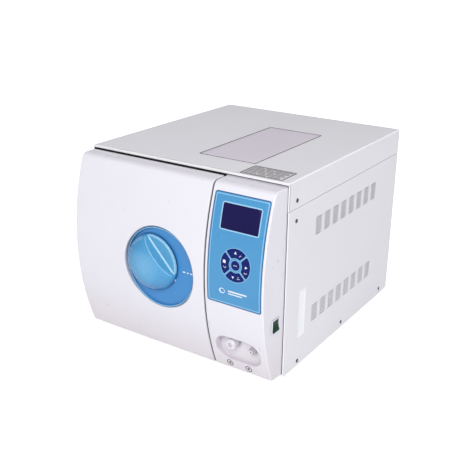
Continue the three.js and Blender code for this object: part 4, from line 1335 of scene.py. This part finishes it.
tail_profile = [(CENTRE_R, DEPTH), (8.0, DEPTH), (8.0, 489.5), (6.6, 490.5), (6.6, 491.5)]
for k in range(3):                         # barbs
    tail_profile += [(6.2, 492.0 + 4 * k), (5.0, 495.2 + 4 * k)]
tail_profile += [(4.4, 504.5), (2.9, 504.5), (2.9, 490.0), (CENTRE_R, 490.0)]
for i, x in enumerate((-60.0, -96.0)):
    lathe("hose_tail_%d" % i, tail_profile, (x, 58), "brass", 48, slot="brass", smooth=35)
slab("rear_plate", (20.0, 96.0, 86.0, 124.0), 2.0,
     ((0.0, DEPTH), (0.0, DEPTH + 0.35), (-0.3, DEPTH + 0.5), (-3.0, DEPTH + 0.5)),
     "label_foil", at_y, steps=4, spacing=10.0, slot="label_foil", smooth=30)


# ---------------------------------------------------------------- dark strips behind the front's gaps, painted shade
# a dark strip that stands in for the shade in a gap behind the front
def shade_strip(name, x0, x1, y0, y1, z0, z1, material="foot_rubber"):
    slab(name, (x0, x1, z0, z1), 0.6, ((-0.2, y0), (0, y0 + 0.25), (0, y1)), material, at_y,
         steps=3, spacing=12.0, slot="foot_rubber", smooth=45)


SHADE_STRIP_TOP = 376.0
shade_strip("seal_top", -221.0, 94.0, 1.7, 3.8, 367.0, SHADE_STRIP_TOP, "screen_black")
ledge = fillet([(0.2, 372.6), (0.2, 373.5), (3.4, 373.5), (3.4, 372.6)], [0.2, 0.3, 0.2, 0.2],
               steps=4)
stack("fascia_ledge", [at_x(ledge, x) for x in (95.6, 96.0, 160.0, 221.6, 221.9)],
      "white_moulding", slot="white_moulding", smooth=45)
shade_strip("seal_fascia", 94.6, 221.0, 1.7, 3.8, 373.55, SHADE_STRIP_TOP)
shade_strip("seal_right", 221.0, 223.2, 1.0, 3.6, 6.0, SHADE_STRIP_TOP)
shade_strip("seal_left", -223.2, -221.0, 1.0, 3.6, 6.0, SHADE_STRIP_TOP)
# a dark strip that follows the front between door and fascia, painted shade in the seam
seam_z = spaced(ARC_LOW, ARC_HIGH, 40)[1:-1]
seam = shell_profile(1.3, 3.0, seam_z) + shell_profile(3.6, 3.0, seam_z)[::-1]
stack("seal_seam", [at_x(seam, x) for x in (94.1, 94.3, 94.97)], "foot_rubber",
      slot="foot_rubber", smooth=45)


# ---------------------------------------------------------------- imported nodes
def soften(node, width=0.0):
    """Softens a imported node's edges by modifiers alone."""
    obj = NODES[node]
    modify(obj, "weld", "WELD", merge_threshold=0.00001)
    if width:
        modify(obj, "planar", "DECIMATE", decimate_type="DISSOLVE", angle_limit=radians(1.0))
        modify(obj, "edge", "BEVEL", width=width / 1000.0, segments=2, limit_method="ANGLE",
               angle_limit=radians(35), use_clamp_overlap=True)
    modify(obj, "sharp", "EDGE_SPLIT", split_angle=radians(38))
    modify(obj, "normals", "WEIGHTED_NORMAL", weight=60, keep_sharp=True)


BEVEL_WIDTHS = {"lock_bolt": 0.5, "lock_keeper": 0.5, "hinge_bracket": 0.5,
                "clean_water_tank": 1.0, "vacuum_pump": 0.8, "fan_rotor": 0.3}
for node, width in BEVEL_WIDTHS.items():
    soften(node, width)
for node, obj in NODES.items():
    if not obj.hide_render and not obj.modifiers:
        soften(node)
for i in range(1, 6):
    for material_slot in NODES["side_screw_%d" % i].material_slots:
        material_slot.material = FINISH["screw_dark"]

# ---------------------------------------------------------------- world and floor, metres
scene = bpy.context.scene
scene.view_settings.view_transform = "Standard"
scene.view_settings.look = "None"
scene.view_settings.exposure = 0.0


def camera_ray(nodes, to):
    """The first value of to for light paths, the second for what the camera sees."""
    ray = nodes.node("LightPath", {}).outputs["Is Camera Ray"]
    return nodes.ramp(ray, to=to, span=(0.0, 1.0))


scene.world = bpy.data.worlds.new("studio")
sky = Nodes(scene.world, main="BACKGROUND")
sky.put({"Color": (1, 1, 1, 1), "Strength": camera_ray(sky, to=(0.34, 1.06))})


def build_floor():
    nodes = Nodes(bpy.data.materials.new("floor"))
    vector = nodes.coords()
    colour = nodes.mix(nodes.ramp(nodes.noise(vector, scale=3)),
                       srgb(247, 247, 248), srgb(252, 252, 253))
    nodes.put({"Base Color": colour, "Specular IOR Level": 0.2,
               "Roughness": nodes.ramp(nodes.noise(vector, scale=20), to=(0.7, 0.85)),
               "Emission Color": (1, 1, 1, 1),
               "Emission Strength": camera_ray(nodes, to=(0.0, 0.74))})
    half, drop = 6, -0.0002
    bm = bmesh.new()
    bm.faces.new([bm.verts.new((x, y, drop)) for x, y in rectangle(-half, half, -half, half)])
    mesh = bpy.data.meshes.new("floor")
    bm.to_mesh(mesh)
    bm.free()
    floor = add_object("floor", mesh)
    mesh.materials.append(nodes.owner)


build_floor()

# ---------------------------------------------------------------- lights
# name, location, target, (width, height), watts, colour
LIGHTS = [
    ("key", (0.45, -2.5, 1.55), (0, -0.1, 0.2), (1.5, 1.3), 22.5, (0.99, 0.985, 1.0)),
    ("edge", (1.25, -1.75, 1.75), (0, -0.1, 0.2), (0.75, 0.75), 15, (1, 1, 1)),
    ("fill", (2.4, -0.2, 1.0), (0, 0.05, 0.2), (1.6, 1.4), 11.4, (1.0, 0.995, 1.0)),
    ("top", (0.1, 0.2, 2.6), (0, 0, 0.3), (2.0, 2.0), 10.0, (1, 1, 1)),
    ("back", (1.0, 2.7, 1.2), (0, 0.2, 0.2), (1.8, 1.4), 15, (1, 1, 1)),
    ("left", (-2.6, 0.3, 1.0), (0, 0.1, 0.2), (1.6, 1.3), 13, (1, 1, 1)),
]
for name, location, target, size, watts, colour in LIGHTS:
    light = bpy.data.lights.new(name, "AREA")
    light.shape = "RECTANGLE"
    light.size, light.size_y = size
    light.energy = watts
    light.color = colour
    lamp = add_object(name, light)
    lamp.location = location
    lamp.rotation_mode = "QUATERNION"
    aim = Vector(target) - Vector(location)
    lamp.rotation_quaternion = aim.to_track_quat("-Z", "Y")

# ---------------------------------------------------------------- camera
AZIMUTH, ELEVATION, ROLL = radians(33.087), radians(21.469), radians(0.717)
CAMERA_DISTANCE, CAMERA_TARGET = 1671.423, (0, 250, 190)       # mm
CAMERA_RIGHT, CAMERA_UP = -37.086, -35.682                     # sideways shifts, mm

backward = Vector((sin(AZIMUTH) * cos(ELEVATION), -cos(AZIMUTH) * cos(ELEVATION),
                   sin(ELEVATION)))
forward = -backward
level_right = forward.cross(Vector((0, 0, 1))).normalized()
level_up = level_right.cross(forward)
right = level_right * cos(ROLL) + level_up * sin(ROLL)
up = level_up * cos(ROLL) - level_right * sin(ROLL)
eye = (backward * CAMERA_DISTANCE + Vector(CAMERA_TARGET)
       + right * CAMERA_RIGHT + up * CAMERA_UP)
lens = bpy.data.cameras.new("camera")
camera = add_object("camera", lens)
lens.sensor_width = 36.0
lens.lens = 58.02
lens.clip_start, lens.clip_end = 0.05, 50
axes = Matrix((right, up, backward)).transposed().to_4x4()
camera.matrix_world = Matrix.Translation(Vector(metres(*eye))) @ axes
scene.camera = camera
